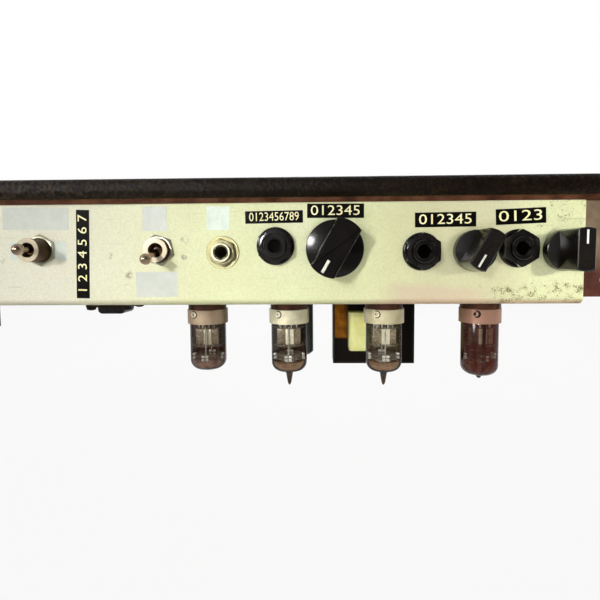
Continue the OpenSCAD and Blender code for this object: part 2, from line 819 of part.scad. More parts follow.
module top_board() {
  color("#b08a5a") difference() {
    translate([0, 0, board_z]) board_core();
    board_bolt_holes();
  }
}

module board_cloth() {
  color("#2b2520") difference() {
    translate([0, 0, board_z]) rounded_board(0);
    translate([0, 0, board_z]) board_core();
    board_bolt_holes();
  }
}

// Toggle switch with +Z out of the panel and its throw along X
module toggle_body(proud) {
  case_top = proud - toggle_bush_l;
  pivot_z = proud - pivot_drop;
  color("#b9b7a0") difference() {
    union() {
      translate([0, 0, case_top]) cylinder(d = toggle_bush_d, h = toggle_bush_l);
      translate([0, 0, case_top - toggle_case_d])
        round_plate(toggle_case_l, toggle_case_w, 1, toggle_case_d);
      for (x = [-1, 0, 1])
        translate([x * toggle_case_l / 3 - tag_t / 2, -tag_w / 2, case_top - toggle_case_d - tag_l])
          cube([tag_t, tag_w, tag_l + eps]);
    }
    translate([0, 0, case_top - toggle_case_d / 2])
      cylinder(d = toggle_bore_d, h = toggle_case_d + toggle_bush_l);
    translate([0, 0, pivot_z]) rotate([90, 0, 0])
      cylinder(d = pivot_pin_d + 2 * running_gap, h = 2 * toggle_bush_d, center = true);
  }
}

// Half outline of a bat lever: tail, ball, neck, widening bat and round tip
module lever_outline() {
  tail = 0.62 * toggle_bush_l;
  bat_start = pivot_drop + 1;
  intersection() {
    union() {
      circle(d = lever_ball_d);
      translate([0, -tail]) square([lever_neck_d / 2, tail + bat_start]);
      polygon([
        [0, bat_start - eps], [lever_neck_d / 2, bat_start - eps], [lever_tip_d / 2, lever_l], [0, lever_l]
      ]);
      translate([0, lever_l]) circle(d = lever_tip_d);
    }
    translate([0, -2 * tail]) square([lever_ball_d + lever_tip_d, 4 * tail + lever_l]);
  }
}

// Bat lever with a cross pin through its ball, tilted to one side of its throw
module toggle_lever(proud) {
  color("#d8d6b4") translate([0, 0, proud - pivot_drop]) rotate([0, lever_throw, 0]) {
    rotate_extrude() lever_outline();
    rotate([90, 0, 0]) cylinder(d = pivot_pin_d, h = toggle_bush_d - 1, center = true);
  }
}

// Turns a rear switch so that it throws up and down, with the rest position down
module upright() {
  rotate([0, 0, -90]) children();
}

module mode_switch() {
  on_rear(mode_at) toggle_body(mode_proud);
}

module mode_lever() {
  on_rear(mode_at) toggle_lever(mode_proud);
}

module standby_switch() {
  on_rear(standby_at) upright() toggle_body(standby_proud);
}

module standby_lever() {
  on_rear(standby_at) upright() toggle_lever(standby_proud);
}

module power_switch() {
  on_front(power_at) upright() toggle_body(standby_proud);
}

module power_lever() {
  on_front(power_at) upright() toggle_lever(standby_proud);
}

// Nuts on both faces of the panel; the inner one backs the panel where the case stands off it
module toggle_nuts(proud) {
  bore = toggle_bush_d + 2 * running_gap;
  space = toggle_bush_l - proud - sheet_t;
  difference() {
    intersection() {
      hex(toggle_nut_af, toggle_nut_h);
      cylinder(d1 = 2.6 * toggle_nut_af - 2 * toggle_nut_h, d2 = toggle_nut_af * 1.08, h = toggle_nut_h);
    }
    translate([0, 0, -eps]) cylinder(d = bore, h = 2 * toggle_nut_h);
  }
  if (space > toggle_nut_h) translate([0, 0, -sheet_t - toggle_nut_h]) difference() {
    hex(toggle_nut_af, toggle_nut_h);
    translate([0, 0, -eps]) cylinder(d = bore, h = 2 * toggle_nut_h);
  }
}

// Open-frame jack: bush, folded frame and two contact springs on an insulated stack
module line_jack() {
  far = -sheet_t - line_frame_l;
  half = line_frame_w / 2;
  spring_y = (jack_bore_d + line_frame_t) / 2 + 0.2;
  stack = 3 * line_frame_t;
  color("#d9d9cf") on_rear(line_at) difference() {
    union() {
      translate([0, 0, -sheet_t - eps]) cylinder(d = line_bush_d, h = line_proud + sheet_t);
      translate([0, 0, -sheet_t - line_frame_t])
        round_plate(line_frame_w, line_frame_w, 2, line_frame_t);
      translate([-half, half - line_frame_t, far]) cube([line_frame_w, line_frame_t, line_frame_l]);
      for (y = [-1, 1]) translate([-half / 2, y * spring_y - line_frame_t / 2, far - tag_l])
        cube([half, line_frame_t, 0.6 * line_frame_l + tag_l]);
      translate([-half, -half + line_frame_t, far]) cube([line_frame_w, line_frame_w - line_frame_t, stack]);
    }
    translate([0, 0, far - eps]) cylinder(d = jack_bore_d, h = line_frame_l + line_proud + 2);
  }
}

module line_nut() {
  bore = line_bush_d + 2 * running_gap;
  ring(line_washer_d, bore, line_washer_t);
  translate([0, 0, line_washer_t]) rotate([0, 0, 8]) difference() {
    hex(line_nut_af, line_nut_h);
    translate([0, 0, -eps]) cylinder(d = bore, h = 2 * line_nut_h);
  }
}

// Moulded jack: hollow case behind the panel and a threaded nose with a lipped mouth
module moulded_jack() {
  back = -sheet_t - jack_case_d;
  difference() {
    union() {
      translate([0, 0, -sheet_t - eps]) cylinder(d = nose_d, h = nose_proud + sheet_t);
      translate([0, 0, back]) round_plate(jack_case_w, jack_case_h, 1.5, jack_case_d);
      for (x = [-1, 0, 1]) translate([x * jack_case_w / 3 - tag_w / 4, -tag_t / 2, back - tag_l])
        cube([tag_w / 2, tag_t, tag_l + eps]);
    }
    translate([0, 0, back + jack_case_wall])
      cylinder(d = jack_bore_d, h = jack_case_d + nose_proud + sheet_t);
    translate([0, 0, nose_proud - 0.8]) cylinder(d1 = jack_bore_d, d2 = jack_bore_d + 1.6, h = 0.8 + eps);
  }
}

module moulded_jacks() {
  color("#1c1a18") {
    for (at = rear_jacks) on_rear(at) moulded_jack();
    on_front(input_at) moulded_jack();
  }
}

// Moulded nut: hexagon flange with rounded-off corners and a sloping ring around the nose
module moulded_nut() {
  difference() {
    union() {
      intersection() {
        hex(flange_af, flange_t);
        cylinder(d = flange_d, h = flange_t);
      }
      cylinder(d1 = flange_af - 0.6, d2 = ring_d - 1, h = ring_h);
    }
    translate([0, 0, -eps]) cylinder(d = nose_d + 2 * running_gap, h = 2 * ring_h);
  }
}

module jack_nuts() {
  color("#141210") {
    for (at = rear_jacks) on_rear(at) moulded_nut();
    on_front(input_at) moulded_nut();
  }
}

// Potentiometer: pressed case, bush through the panel and three tags
module pot(case_d) {
  back = -sheet_t - pot_depth;
  difference() {
    union() {
      translate([0, 0, -sheet_t - eps]) cylinder(d = pot_bush_d, h = pot_proud + sheet_t);
      translate([0, 0, back]) cylinder(d = case_d, h = pot_depth);
      for (x = [-1, 0, 1])
        translate([x * case_d / 4 - tag_w / 4, -case_d / 2 - tag_l, -sheet_t - pot_depth / 3])
          cube([tag_w / 2, case_d / 2 + tag_l, tag_t]);
    }
    translate([0, 0, back + pot_floor]) cylinder(d = pot_bore_d, h = pot_depth + pot_proud + sheet_t);
  }
}

module pots() {
  color("#a8a69a") {
    on_rear(reverb_at) pot(pot_large_d);
    for (at = [return_at, send_at]) on_rear(at) pot(pot_small_d);
    for (at = [volume_at, tone_at]) on_front(at) pot(pot_large_d);
  }
}

module pot_nut() {
  difference() {
    hex(pot_nut_af, pot_nut_h);
    translate([0, 0, -eps]) cylinder(d = pot_bush_d + 2 * running_gap, h = 2 * pot_nut_h);
  }
}

// Every plated nut on the two panels
module panel_nuts() {
  color("silver") {
    on_rear(mode_at) toggle_nuts(mode_proud);
    on_rear(standby_at) rotate([0, 0, 12]) toggle_nuts(standby_proud);
    on_front(power_at) toggle_nuts(standby_proud);
    on_rear(line_at) line_nut();
    for (at = [reverb_at, return_at, send_at]) on_rear(at) pot_nut();
    for (at = [volume_at, tone_at]) on_front(at) pot_nut();
  }
}

module shaft() {
  foot = pot_floor - sheet_t - pot_depth + shaft_end_gap;
  color("#c8c8c4") translate([0, 0, foot]) cylinder(d = shaft_d, h = shaft_proud - foot);
}

// Bar knob: round skirt, dished shoulders, full-width bar with bevelled edges and a pointer groove
module bar_knob(d, bar_w) {
  h = knob_top - knob_gap;
  rim = knob_rim - knob_gap;
  dome_r = (d * d / 4 + knob_rise * knob_rise) / (2 * knob_rise);
  hollow_h = pot_proud + hollow_gap - knob_gap;
  color("#211c18") translate([0, 0, knob_gap]) difference() {
    union() {
      cylinder(d = d, h = rim);
      intersection() {
        cylinder(d = d, h = h);
        translate([0, 0, rim + knob_rise - dome_r]) sphere(r = dome_r);
      }
      intersection() {
        cylinder(d1 = d, d2 = d - 1, h = h);
        rotate([90, 0, 0]) linear_extrude(2 * d, center = true) polygon([
          [-bar_w / 2 - 0.6, 0], [bar_w / 2 + 0.6, 0], [bar_w / 2, h - bar_bevel],
          [bar_w / 2 - bar_bevel, h], [bar_bevel - bar_w / 2, h], [-bar_w / 2, h - bar_bevel]
        ]);
      }
    }
    for (s = [0, 180]) rotate([0, 0, s]) translate([0, d / 2 - 0.5, h]) rotate([45, 0, 0])
      cube([d, 2.2 * bar_bevel, 2.2 * bar_bevel], center = true);
    translate([-groove_w / 2, d / 2 - groove_l, h - groove_depth]) cube([groove_w, groove_l + 1, 1]);
    translate([0, 0, -eps]) cylinder(d = hollow_d, h = hollow_h);
    translate([0, 0, -eps]) cylinder(d = shaft_d + 2 * running_gap, h = shaft_proud - knob_gap + eps);
  }
}

module turned(angle) {
  rotate([0, 0, -angle]) children();
}

module reverb_knob() {
  on_rear(reverb_at) turned(min_turn) bar_knob(knob_large_d, bar_large_w);
}

module return_knob() {
  on_rear(return_at) turned(min_turn) bar_knob(knob_small_d, bar_small_w);
}

module send_knob() {
  on_rear(send_at) bar_knob(knob_small_d, bar_small_w);
}

module volume_knob() {
  on_front(volume_at) turned(min_turn) bar_knob(knob_large_d, bar_large_w);
}

module tone_knob() {
  on_front(tone_at) bar_knob(knob_large_d, bar_large_w);
}

module pin_ring() {
  for (i = [1:9]) rotate([0, 0, 36 * i]) translate([pin_circle_d / 2, 0, 0]) children();
}

// Moulded nine-hole socket: body under the deck, neck through it and tags on top
module valve_socket() {
  difference() {
    union() {
      translate([0, 0, saddle_t]) cylinder(d = socket_d, h = seat_drop - saddle_t);
      translate([0, 0, -sheet_t - neck_h]) cylinder(d = neck_d, h = sheet_t + neck_h + seat_drop - eps);
      pin_ring() translate([-0.3, -0.9, -sheet_t - neck_h - tag_l]) cube([0.6, 1.8, tag_l + eps]);
    }
    pin_ring() translate([0, 0, seat_drop - pin_l - 1]) cylinder(d = pin_hole_d, h = pin_l + 2);
    translate([0, 0, seat_drop - pin_l]) cylinder(d = pin_circle_d / 3, h = 2 * pin_l);
  }
}

module valve_sockets() {
  color("#5b3522") for (x = all_valves) under_deck([x, row_y]) valve_socket();
}

// Saddle plate with two ears, four straps and a skirt with two eyelets
module socket_shield() {
  ear_r = screw_head_d / 2 + 1;
  skirt = collar_drop + collar_l;
  difference() {
    union() {
      linear_extrude(saddle_t) {
        square([saddle_pitch, 2 * ear_r], center = true);
        for (x = [-1, 1]) translate([x * saddle_pitch / 2, 0]) circle(ear_r);
      }
      cylinder(d = collar_d, h = skirt);
      eyelets() cylinder(d = lug_d, h = lug_rise);
    }
    translate([0, 0, -1]) cylinder(d = neck_d + 2 * neck_gap, h = 2 + saddle_t);
    translate([0, 0, saddle_t]) cylinder(d = collar_d - 2 * collar_t, h = 2 * skirt);
    for (a = [0:3]) rotate([0, 0, 90 * a + 45]) translate([strap_w / 2, strap_w / 2, saddle_t])
      cube([collar_d, collar_d, collar_drop - saddle_t]);
    eyelets() translate([0, 0, -2]) cylinder(d = lug_hole_d, h = 4);
    for (x = [-1, 1]) translate([x * saddle_pitch / 2, 0, -1]) cylinder(d = screw_d + screw_gap, h = 3);
  }
}

// Puts its child on the collar's wall, pointing outwards, on two sides
module eyelets() {
  for (a = [0, 180]) rotate([0, 0, a - 90 + lug_angle])
    translate([collar_d / 2 - collar_t / 2, 0, collar_drop + lug_drop]) rotate([0, 90, 0]) children();
}

module socket_shields() {
  color("#cfcbab") for (x = all_valves) under_deck([x, row_y]) socket_shield();
}

// Half outline of a bulb: straight wall, rounded shoulder
module bulb_outline(r, start, end, round_r) {
  translate([0, start]) square([r, end - round_r - start]);
  translate([0, start]) square([r - round_r, end - start]);
  intersection() {
    translate([r - round_r, end - round_r]) circle(round_r);
    translate([0, start]) square([2 * r, end]);
  }
}

// Blown glass bulb with a pressed pin base and a drawn-off exhaust tip
module valve_glass(length, tip) {
  r = bulb_d / 2;
  color("#c9d2c8") difference() {
    rotate_extrude() difference() {
      union() {
        bulb_outline(r, 0, length, shoulder_r);
        polygon([
          [0, length - glass_t], [2.6, length - glass_t / 2], [2, length + tip * 0.4],
          [1.1, length + tip * 0.85], [0.5, length + tip], [0, length + tip]
        ]);
      }
      bulb_outline(r - glass_t, base_t, length - glass_t, shoulder_r - glass_t);
    }
    pin_ring() translate([0, 0, -eps]) cylinder(d = pin_d + 2 * running_gap, h = 2 * base_t);
  }
}

// Electrode cage: pins, four mica spacers, two ribbed anodes, support wires and the getter ring
module valve_cage(stretch) {
  top_z = spacer_z + spacer_t + anode_l + stretch;
  outer_z = top_z + outer_rise;
  last_z = outer_z + outer_pitch;
  mica_d = bulb_d - 2 * glass_t - 2 * running_gap;
  color("#8d8f8c") {
    pin_ring() translate([0, 0, -pin_l]) cylinder(d = pin_d, h = pin_l + spacer_z + eps);
    for (z = [spacer_z, top_z, outer_z, last_z]) translate([0, 0, z]) cylinder(d = mica_d, h = spacer_t);
    for (s = [-1, 1]) translate([s * (anode_w / 2 + 0.5), 0, spacer_z + spacer_t - eps])
      linear_extrude(anode_l + stretch + 2 * eps) {
        difference() {
          round_rect(anode_w, anode_d, 1.4);
          round_rect(anode_w - 2 * anode_t, anode_d - 2 * anode_t, 0.8);
        }
        for (y = [-1, 1]) translate([0, y * (anode_d / 2 + 0.6)]) square([anode_t, 1.6], center = true);
        circle(d = 1.8);
      }
    for (y = [-1, 1]) translate([0, y * anode_d, spacer_z])
      cylinder(d = wire_d, h = last_z - spacer_z + spacer_t);
    translate([getter_d / 2, 0, last_z]) cylinder(d = wire_d, h = getter_rise + spacer_t);
    translate([0, 0, last_z + spacer_t + getter_rise]) rotate_extrude()
      translate([getter_d / 2, 0]) circle(d = wire_d * 1.2);
  }
}

module seated(x) {
  under_deck([x, row_y]) translate([0, 0, seat_drop]) children();
}

// Stacked laminations with two windows, square to Z
module laminations(leg, stack) {
  linear_extrude(stack) difference() {
    square([6 * leg, 5 * leg], center = true);
    for (x = [-1, 1]) translate([x * 1.5 * leg, 0]) square([leg, 3 * leg], center = true);
  }
}

// Winding around the middle leg, wrapped in tape, axis along Y
module winding(leg, stack) {
  gap = winding_gap;
  length = 3 * leg - 2 * gap;
  translate([0, length / 2, stack / 2]) rotate([90, 0, 0]) linear_extrude(length) difference() {
    round_rect(4 * leg - 2 * gap, stack + 2 * leg, winding_r);
    square([2 * leg + 2 * gap, stack + 2 * gap], center = true);
  }
}

module upright_transformer() {
  h = 2.5 * output_leg + output_tr_drop;
  under_deck(output_tr_at) translate([0, output_stack / 2, h]) rotate([90, 0, 0]) children();
}

module output_transformer_core() {
  color("#5a3208") upright_transformer() laminations(output_leg, output_stack);
}

module output_transformer_coil() {
  color("#dbd98c") upright_transformer() winding(output_leg, output_stack);
}

// Channel bracket folded round the laminations, with feet on the deck
module output_transformer_bracket() {
  w = 2 * bracket_half;
  bottom = output_tr_drop + 5 * output_leg + bracket_t;
  color("#3a3632") under_deck(output_tr_at) difference() {
    translate([0, output_stack / 2, 0]) rotate([90, 0, 0]) linear_extrude(output_stack) {
      difference() {
        translate([-w / 2, 0]) square([w, bottom]);
        translate([bracket_t - w / 2, -eps]) square([w - 2 * bracket_t, bottom - bracket_t + eps]);
      }
      for (x = [-1, 1]) translate([x * bracket_screw_x - bracket_foot / 2, 0])
        square([bracket_foot, bracket_t]);
    }
    for (x = [-1, 1]) translate([x * bracket_screw_x, 0, -eps])
      cylinder(d = screw_d + screw_gap, h = bracket_t + 2 * eps);
  }
}

module bolted_laminations(leg, stack) {
  difference() {
    laminations(leg, stack);
    for (at = corner_bolts(leg)) translate([at[0], at[1], -eps])
      cylinder(d = screw_d + screw_gap, h = stack + 2 * eps);
  }
}

module power_transformer_core() {
  color("#2c2926") under_deck(power_tr_at) bolted_laminations(power_leg, power_stack);
}

module power_transformer_coil() {
  color("#b98a3a") under_deck(power_tr_at) winding(power_leg, power_stack);
}

// Pressed cover over the lower half of the winding
module power_transformer_cover() {
  w = 4 * power_leg + 4;
  d = 3 * power_leg + 8;
  rise = power_leg + cover_t + 1;
  color("#1f1d1b") under_deck(power_tr_at) translate([0, 0, power_stack]) difference() {
    union() {
      round_plate(6 * power_leg, 5 * power_leg, 3, cover_t);
      round_plate(w, d, 6, rise);
    }
    translate([0, 0, -eps]) round_plate(w - 2 * cover_t, d - 2 * cover_t, 6 - cover_t, rise - cover_t);
    for (at = corner_bolts(power_leg)) translate([at[0], at[1], -eps])
      cylinder(d = screw_d + screw_gap, h = cover_t + 2 * eps);
  }
}

module choke_core() {
  color("#2c2926") under_deck(choke_at) bolted_laminations(choke_leg, choke_stack);
}

module choke_coil() {
  color("#3a302a") under_deck(choke_at) winding(choke_leg, choke_stack);
}

// Electrolytic can with a crimped rim, hung through the deck by its neck and terminals
module filter_capacitor() {
  color("#6f7d88") under_deck(can_at) {
    rotate_extrude() polygon([
      [0, -sheet_t - 3], [can_neck_d / 2, -sheet_t - 3], [can_neck_d / 2, 0], [can_d / 2, 0],
      [can_d / 2, 3], [can_d / 2 - 0.7, 3.6], [can_d / 2, 4.2], [can_d / 2, can_l - 1.5],
      [can_d / 2 - 1.5, can_l], [can_d / 2 - 3, can_l], [can_d / 2 - 3.6, can_l - 0.8], [0, can_l - 0.8]
    ]);
    for (a = [0:2]) rotate([0, 0, 120 * a]) translate([can_neck_d / 4, -tag_w / 4, -sheet_t - 3 - tag_l / 2])
      cube([tag_t, tag_w / 2, tag_l / 2 + eps]);
  }
}

module capacitor_clamp() {
  bore = can_d + 2 * running_gap;
  color("#b5b3a6") under_deck(can_at) difference() {
    union() {
      cylinder(d = can_d + 2 * clamp_t, h = clamp_h);
      linear_extrude(clamp_t) {
        square([clamp_pitch, screw_head_d + 2], center = true);
        for (x = [-1, 1]) translate([x * clamp_pitch / 2, 0]) circle(d = screw_head_d + 2);
      }
    }
    translate([0, 0, -eps]) cylinder(d = bore, h = clamp_h + 2 * eps);
    for (x = [-1, 1]) translate([x * clamp_pitch / 2, 0, -eps])
      cylinder(d = screw_d + screw_gap, h = clamp_t + 2 * eps);
  }
}

// Three-blade inlet: flange on the panel, hollow body behind it
module mains_inlet() {
  color("#191817") on_rear(inlet_at) difference() {
    union() {
      round_plate(inlet_flange_w, inlet_flange_h, 3, inlet_flange_t);
      translate([0, 0, -inlet_body_d]) round_plate(inlet_body_w, inlet_body_h, 2, inlet_body_d + eps);
    }
    translate([0, 0, inlet_flange_t - inlet_cavity])
      round_plate(inlet_body_w - 2 * inlet_wall, inlet_body_h - 2 * inlet_wall, 2, inlet_cavity + eps);
    for (x = [-1, 1]) translate([x * inlet_screw_x, 0, -eps])
      cylinder(d1 = screw_d + screw_gap, d2 = screw_head_d, h = inlet_flange_t + 2 * eps);
  }
}

module inlet_blades() {
  floor_z = inlet_flange_t - inlet_cavity;
  color("silver") on_rear(inlet_at) {
    for (at = [[-7, -2], [0, 2], [7, -2]]) translate([at[0] - 1, at[1] - 2, floor_z]) cube([2, 4, blade_l]);
  }
}

module fuse_holder() {
  color("#1b1a19") on_rear(fuse_at) difference() {
    union() {
      cylinder(d = fuse_cap_d, h = fuse_flange_t);
      translate([0, 0, -fuse_depth]) cylinder(d = fuse_body_d, h = fuse_depth + fuse_flange_t + 3);
      translate([-tag_w / 2, -tag_t / 2, -fuse_depth - tag_l]) cube([tag_w, tag_t, tag_l + eps]);
    }
    translate([0, 0, 2 - fuse_depth]) cylinder(d = fuse_bore_d, h = 2 * fuse_depth);
  }
  color("#1b1a19") on_rear(fuse_at) translate([0, 0, -sheet_t - screw_nut_h]) difference() {
    hex(fuse_cap_d, screw_nut_h);
    translate([0, 0, -eps]) cylinder(d = fuse_body_d + 2 * running_gap, h = 2 * screw_nut_h);
  }
}

// Bayonet cap with a coin slot and a knurled rim, holding the fuse
module fuse_cap() {
  foot = fuse_flange_t + fuse_cap_gap;
  color("#24211f") on_rear(fuse_at) translate([0, 0, foot]) difference() {
    cylinder(d = fuse_cap_d, h = fuse_cap_h);
    translate([0, 0, -eps]) cylinder(d = fuse_body_d + 2 * fuse_cap_gap, h = 3 + fuse_cap_gap);
    translate([-fuse_cap_d, -0.8, fuse_cap_h - 1.6]) cube([2 * fuse_cap_d, 1.6, 3]);
    for (i = [0:11]) rotate([0, 0, 30 * i + 15]) translate([fuse_cap_d / 2 + 0.3, 0, 3])
      cylinder(d = 1.6, h = fuse_cap_h);
  }
}

module pilot_lamp() {
  color("#b5342a") on_front(lamp_at) {
    rotate_extrude() polygon([
      [0, -24], [lamp_body_d / 2, -24], [lamp_body_d / 2, 0], [lamp_d / 2, 0], [lamp_d / 2, 2],
      [lamp_d / 2 - 1.4, 4], [lamp_d / 2 - 3, 8], [lamp_d / 2 - 5, 9.6], [0, 10]
    ]);
  }
}

// Board on four pressed-in posts
module circuit_board() {
  color("#8a6a3a") translate([from_right(pcb_x), panel_y + pcb_y, deck_top]) {
    translate([-pcb_w / 2, -pcb_d / 2, post_h]) cube([pcb_w, pcb_d, pcb_t]);
    for (x = [-1, 1], y = [-1, 1])
      translate([x * (pcb_w / 2 - 2 * post_d), y * (pcb_d / 2 - post_d / 2 - 1), 0])
        cylinder(d = post_d, h = post_h);
  }
}

// Rows of wire-ended parts lying across the board between its two edges
module board_parts() {
  count = floor((pcb_w - part_pitch) / part_pitch);
  color("#c77b2b") for (i = [0:count - 1]) {
    big = i % 3 == 0;
    body_d = big ? capacitor_d : resistor_d;
    body_l = big ? capacitor_l : resistor_l;
    translate([
      from_right(pcb_x) + (i - (count - 1) / 2) * part_pitch,
      panel_y + pcb_y,
      deck_top + post_h + pcb_t + body_d / 2
    ]) rotate([90, 0, 0]) {
      cylinder(d = body_d, h = body_l, center = true);
      cylinder(d = lead_d, h = pcb_d - lead_inset, center = true);
    }
  }
}

chassis();
rear_panel();
front_panel();
end_plates();
screws_and_bolts();
fibre_sheet();
top_board();
board_cloth();
mode_switch();
mode_lever();
standby_switch();
standby_lever();
power_switch();
power_lever();
line_jack();
moulded_jacks();
jack_nuts();
pots();
panel_nuts();
on_rear(reverb_at) shaft();  // reverb_shaft
on_rear(return_at) shaft();  // return_shaft
on_rear(send_at) shaft();  // send_shaft
on_front(volume_at) shaft();  // volume_shaft
on_front(tone_at) shaft();  // tone_shaft
reverb_knob();
return_knob();
send_knob();
volume_knob();
tone_knob();
valve_sockets();
socket_shields();
for (i = [1:4]) seated(small_valves[i - 1]) valve_glass(small_lengths[i - 1], small_tips[i - 1]);
for (i = [1:4]) seated(small_valves[i - 1]) valve_cage(0);
for (i = [1:2]) seated(output_valves[i - 1]) valve_glass(output_bulb_l, tip_l);
for (i = [1:2]) seated(output_valves[i - 1]) valve_cage(output_bulb_l - bulb_l);
output_transformer_core();
output_transformer_coil();
output_transformer_bracket();
power_transformer_core();
power_transformer_coil();
power_transformer_cover();
choke_core();
choke_coil();
filter_capacitor();
capacitor_clamp();
mains_inlet();
inlet_blades();
fuse_holder();
fuse_cap();
pilot_lamp();
circuit_board();
board_parts();
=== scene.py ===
"""Looks of a valve amplifier chassis hung under a covered board, seen at its rear control panel."""
import json
import math

import bpy
from mathutils import Matrix, Vector


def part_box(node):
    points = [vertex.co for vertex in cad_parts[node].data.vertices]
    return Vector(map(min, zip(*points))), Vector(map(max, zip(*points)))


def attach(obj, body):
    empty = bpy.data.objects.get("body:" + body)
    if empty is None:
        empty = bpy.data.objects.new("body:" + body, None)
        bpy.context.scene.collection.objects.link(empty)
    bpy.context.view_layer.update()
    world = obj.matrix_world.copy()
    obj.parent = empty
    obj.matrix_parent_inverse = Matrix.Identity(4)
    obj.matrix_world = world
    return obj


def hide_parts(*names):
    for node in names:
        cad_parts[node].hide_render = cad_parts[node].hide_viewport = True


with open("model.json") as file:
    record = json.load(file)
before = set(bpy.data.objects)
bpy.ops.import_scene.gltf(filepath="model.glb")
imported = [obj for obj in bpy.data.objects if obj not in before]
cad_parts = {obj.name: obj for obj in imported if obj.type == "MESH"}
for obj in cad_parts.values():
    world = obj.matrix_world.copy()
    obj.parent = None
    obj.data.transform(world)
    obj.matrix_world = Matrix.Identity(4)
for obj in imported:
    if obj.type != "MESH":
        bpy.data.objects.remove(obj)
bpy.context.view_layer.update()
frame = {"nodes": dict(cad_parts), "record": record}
bpy.context.scene.view_settings.view_transform = "Standard"

MM = 0.001
HULL = "chassis_assembly"


# Places from the frame, in millimetres

def tenths(point):
    """A point of the frame in millimetres, to a tenth."""
    return [round(v / MM, 1) for v in point]


def middle_of(node_name):
    """Middle of a node's box."""
    low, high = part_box(node_name)
    return tenths((low + high) / 2)


record = frame["record"]
ROWS = record["behaviour"]["joints"] + record["mounts"]
PLACES = {row["name"]: tenths(row["pos_m"]) for row in ROWS if "pos_m" in row}
PANEL_Y = tenths(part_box("rear_panel")[0])[1]
FRONT_Y = tenths(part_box("front_panel")[1])[1]
DECK_Z = tenths(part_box("chassis")[0])[2]
SEAT_Z = tenths(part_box("valve_1_glass")[1])[2]
ROW_Y = middle_of("valve_1_glass")[1]
CONTROLS = ("reverb", "return", "send", "volume", "tone")
JACKS = ("footswitch", "return", "send", "speaker", "input")
VALVES = ("valve_1", "valve_2", "valve_3", "valve_4", "output_valve_1", "output_valve_2")
VALVE_X = {valve: middle_of(valve + "_glass")[0] for valve in VALVES}


def scaled(values):
    """Millimetres to metres."""
    return [v * MM for v in values]


# Camera

def add_camera():
    """Camera as fitted to the photograph, in degrees and millimetres."""
    yaw, tilt, roll = (math.radians(a) for a in (-1.56, -3.55, -0.37))
    ahead = Vector((math.sin(yaw) * math.cos(tilt), math.cos(yaw) * math.cos(tilt), math.sin(tilt)))
    level = Vector((math.cos(yaw), -math.sin(yaw), 0))
    upright = level.cross(ahead)
    right = level * math.cos(roll) + upright * math.sin(roll)
    up = upright * math.cos(roll) - level * math.sin(roll)
    turn = Matrix((right, up, -ahead)).transposed().to_euler()
    bpy.ops.object.camera_add(location=scaled((107.8, -219.0, -3.1)), rotation=turn)
    camera = bpy.context.object
    camera.data.lens = 25.28
    camera.data.sensor_width = 36
    camera.data.shift_x = -0.0117
    camera.data.shift_y = -0.0257
    camera.data.clip_start = 0.005
    bpy.context.scene.camera = camera


add_camera()


# Materials

def srgb(hex_text):
    """Linear RGBA of an sRGB hex colour."""
    values = [int(hex_text[i:i + 2], 16) / 255 for i in (1, 3, 5)]
    return [v / 12.92 if v <= 0.04045 else ((v + 0.055) / 1.055) ** 2.4 for v in values] + [1]


# Kinds of shader node: the type, the inputs in order, the output if it is always one, and the settings
NODE_KINDS = {
    "coordinates": ("TexCoord", (), None, {}),
    "surface": ("NewGeometry", (), None, {}),
    "rays": ("LightPath", (), None, {}),
    "axes": ("SeparateXYZ", (0,), None, {}),
    "stretch": ("Mapping", ("Vector", "Scale", "Rotation"), "Vector", {}),
    "noise": ("TexNoise", ("Vector", "Scale", "Detail", "Roughness"), "Fac", {}),
    "cells": ("TexVoronoi", ("Vector", "Scale"), "Distance", {}),
    "bands": ("TexWave", ("Vector", "Scale", "Distortion"), "Fac", {"wave_type": "BANDS"}),
    "scatter": ("TexWhiteNoise", ("W",), "Value", {"noise_dimensions": "1D"}),
    "ramp": ("ValToRGB", ("Fac",), "Color", {}),
    "mix": ("Mix", (0, 6, 7), 2, {"data_type": "RGBA"}),
    "fade": ("MapRange", ("Value", "From Min", "From Max", "To Min", "To Max"), "Result", {}),
    "multiply": ("Math", (0, 1), 0, {"operation": "MULTIPLY"}),
    "add": ("Math", (0, 1), 0, {"operation": "ADD"}),
    "highest": ("Math", (0, 1), 0, {"operation": "MAXIMUM"}),
    "absolute": ("Math", (0,), 0, {"operation": "ABSOLUTE"}),
    "whole": ("Math", (0,), 0, {"operation": "FLOOR"}),
    "distance": ("VectorMath", (0, 1), "Value", {"operation": "DISTANCE"}),
    "toward": ("VectorMath", (0, 1), "Value", {"operation": "DOT_PRODUCT"}),
    "bump": ("Bump", ("Height", "Distance", "Strength"), "Normal", {}),
    "glow": ("Emission", (), 0, {}),
    "blend": ("MixShader", (0, 1, 2), 0, {}),
}


def node(owner, kind, *values, stops=(), **settings):
    """Adds a node with its inputs in order, colour stops and settings; gives its output, or all of them."""
    type_name, inputs, output, usual = NODE_KINDS[kind]
    made = owner.node_tree.nodes.new("ShaderNode" + type_name)
    for key, value in {**usual, **settings}.items():
        setattr(made, key, value)
    # A new ramp has two stops already
    for i, (position, colour) in enumerate(stops):
        elements = made.color_ramp.elements
        element = elements[i] if i < 2 else elements.new(position)
        element.position = position
        element.color = srgb(colour)
    for socket, value in zip(inputs, values):
        link(owner, value, made.inputs[socket])
    return made.outputs if output is None else made.outputs[output]


def link(owner, value, socket):
    """Links an output to a socket, or sets the socket to a number, a vector or a hex colour."""
    if isinstance(value, str):
        socket.default_value = srgb(value)
    elif isinstance(value, (int, float, tuple, list)):
        socket.default_value = value
    else:
        owner.node_tree.links.new(value, socket)


def new_material(name):
    """A material with a principled shader and object coordinates: (material, shader, coordinates)."""
    material = bpy.data.materials.new(name)
    material.use_nodes = True
    shader = material.node_tree.nodes["Principled BSDF"]
    shader.inputs["Specular IOR Level"].default_value = 0.3
    return material, shader, node(material, "coordinates")["Object"]


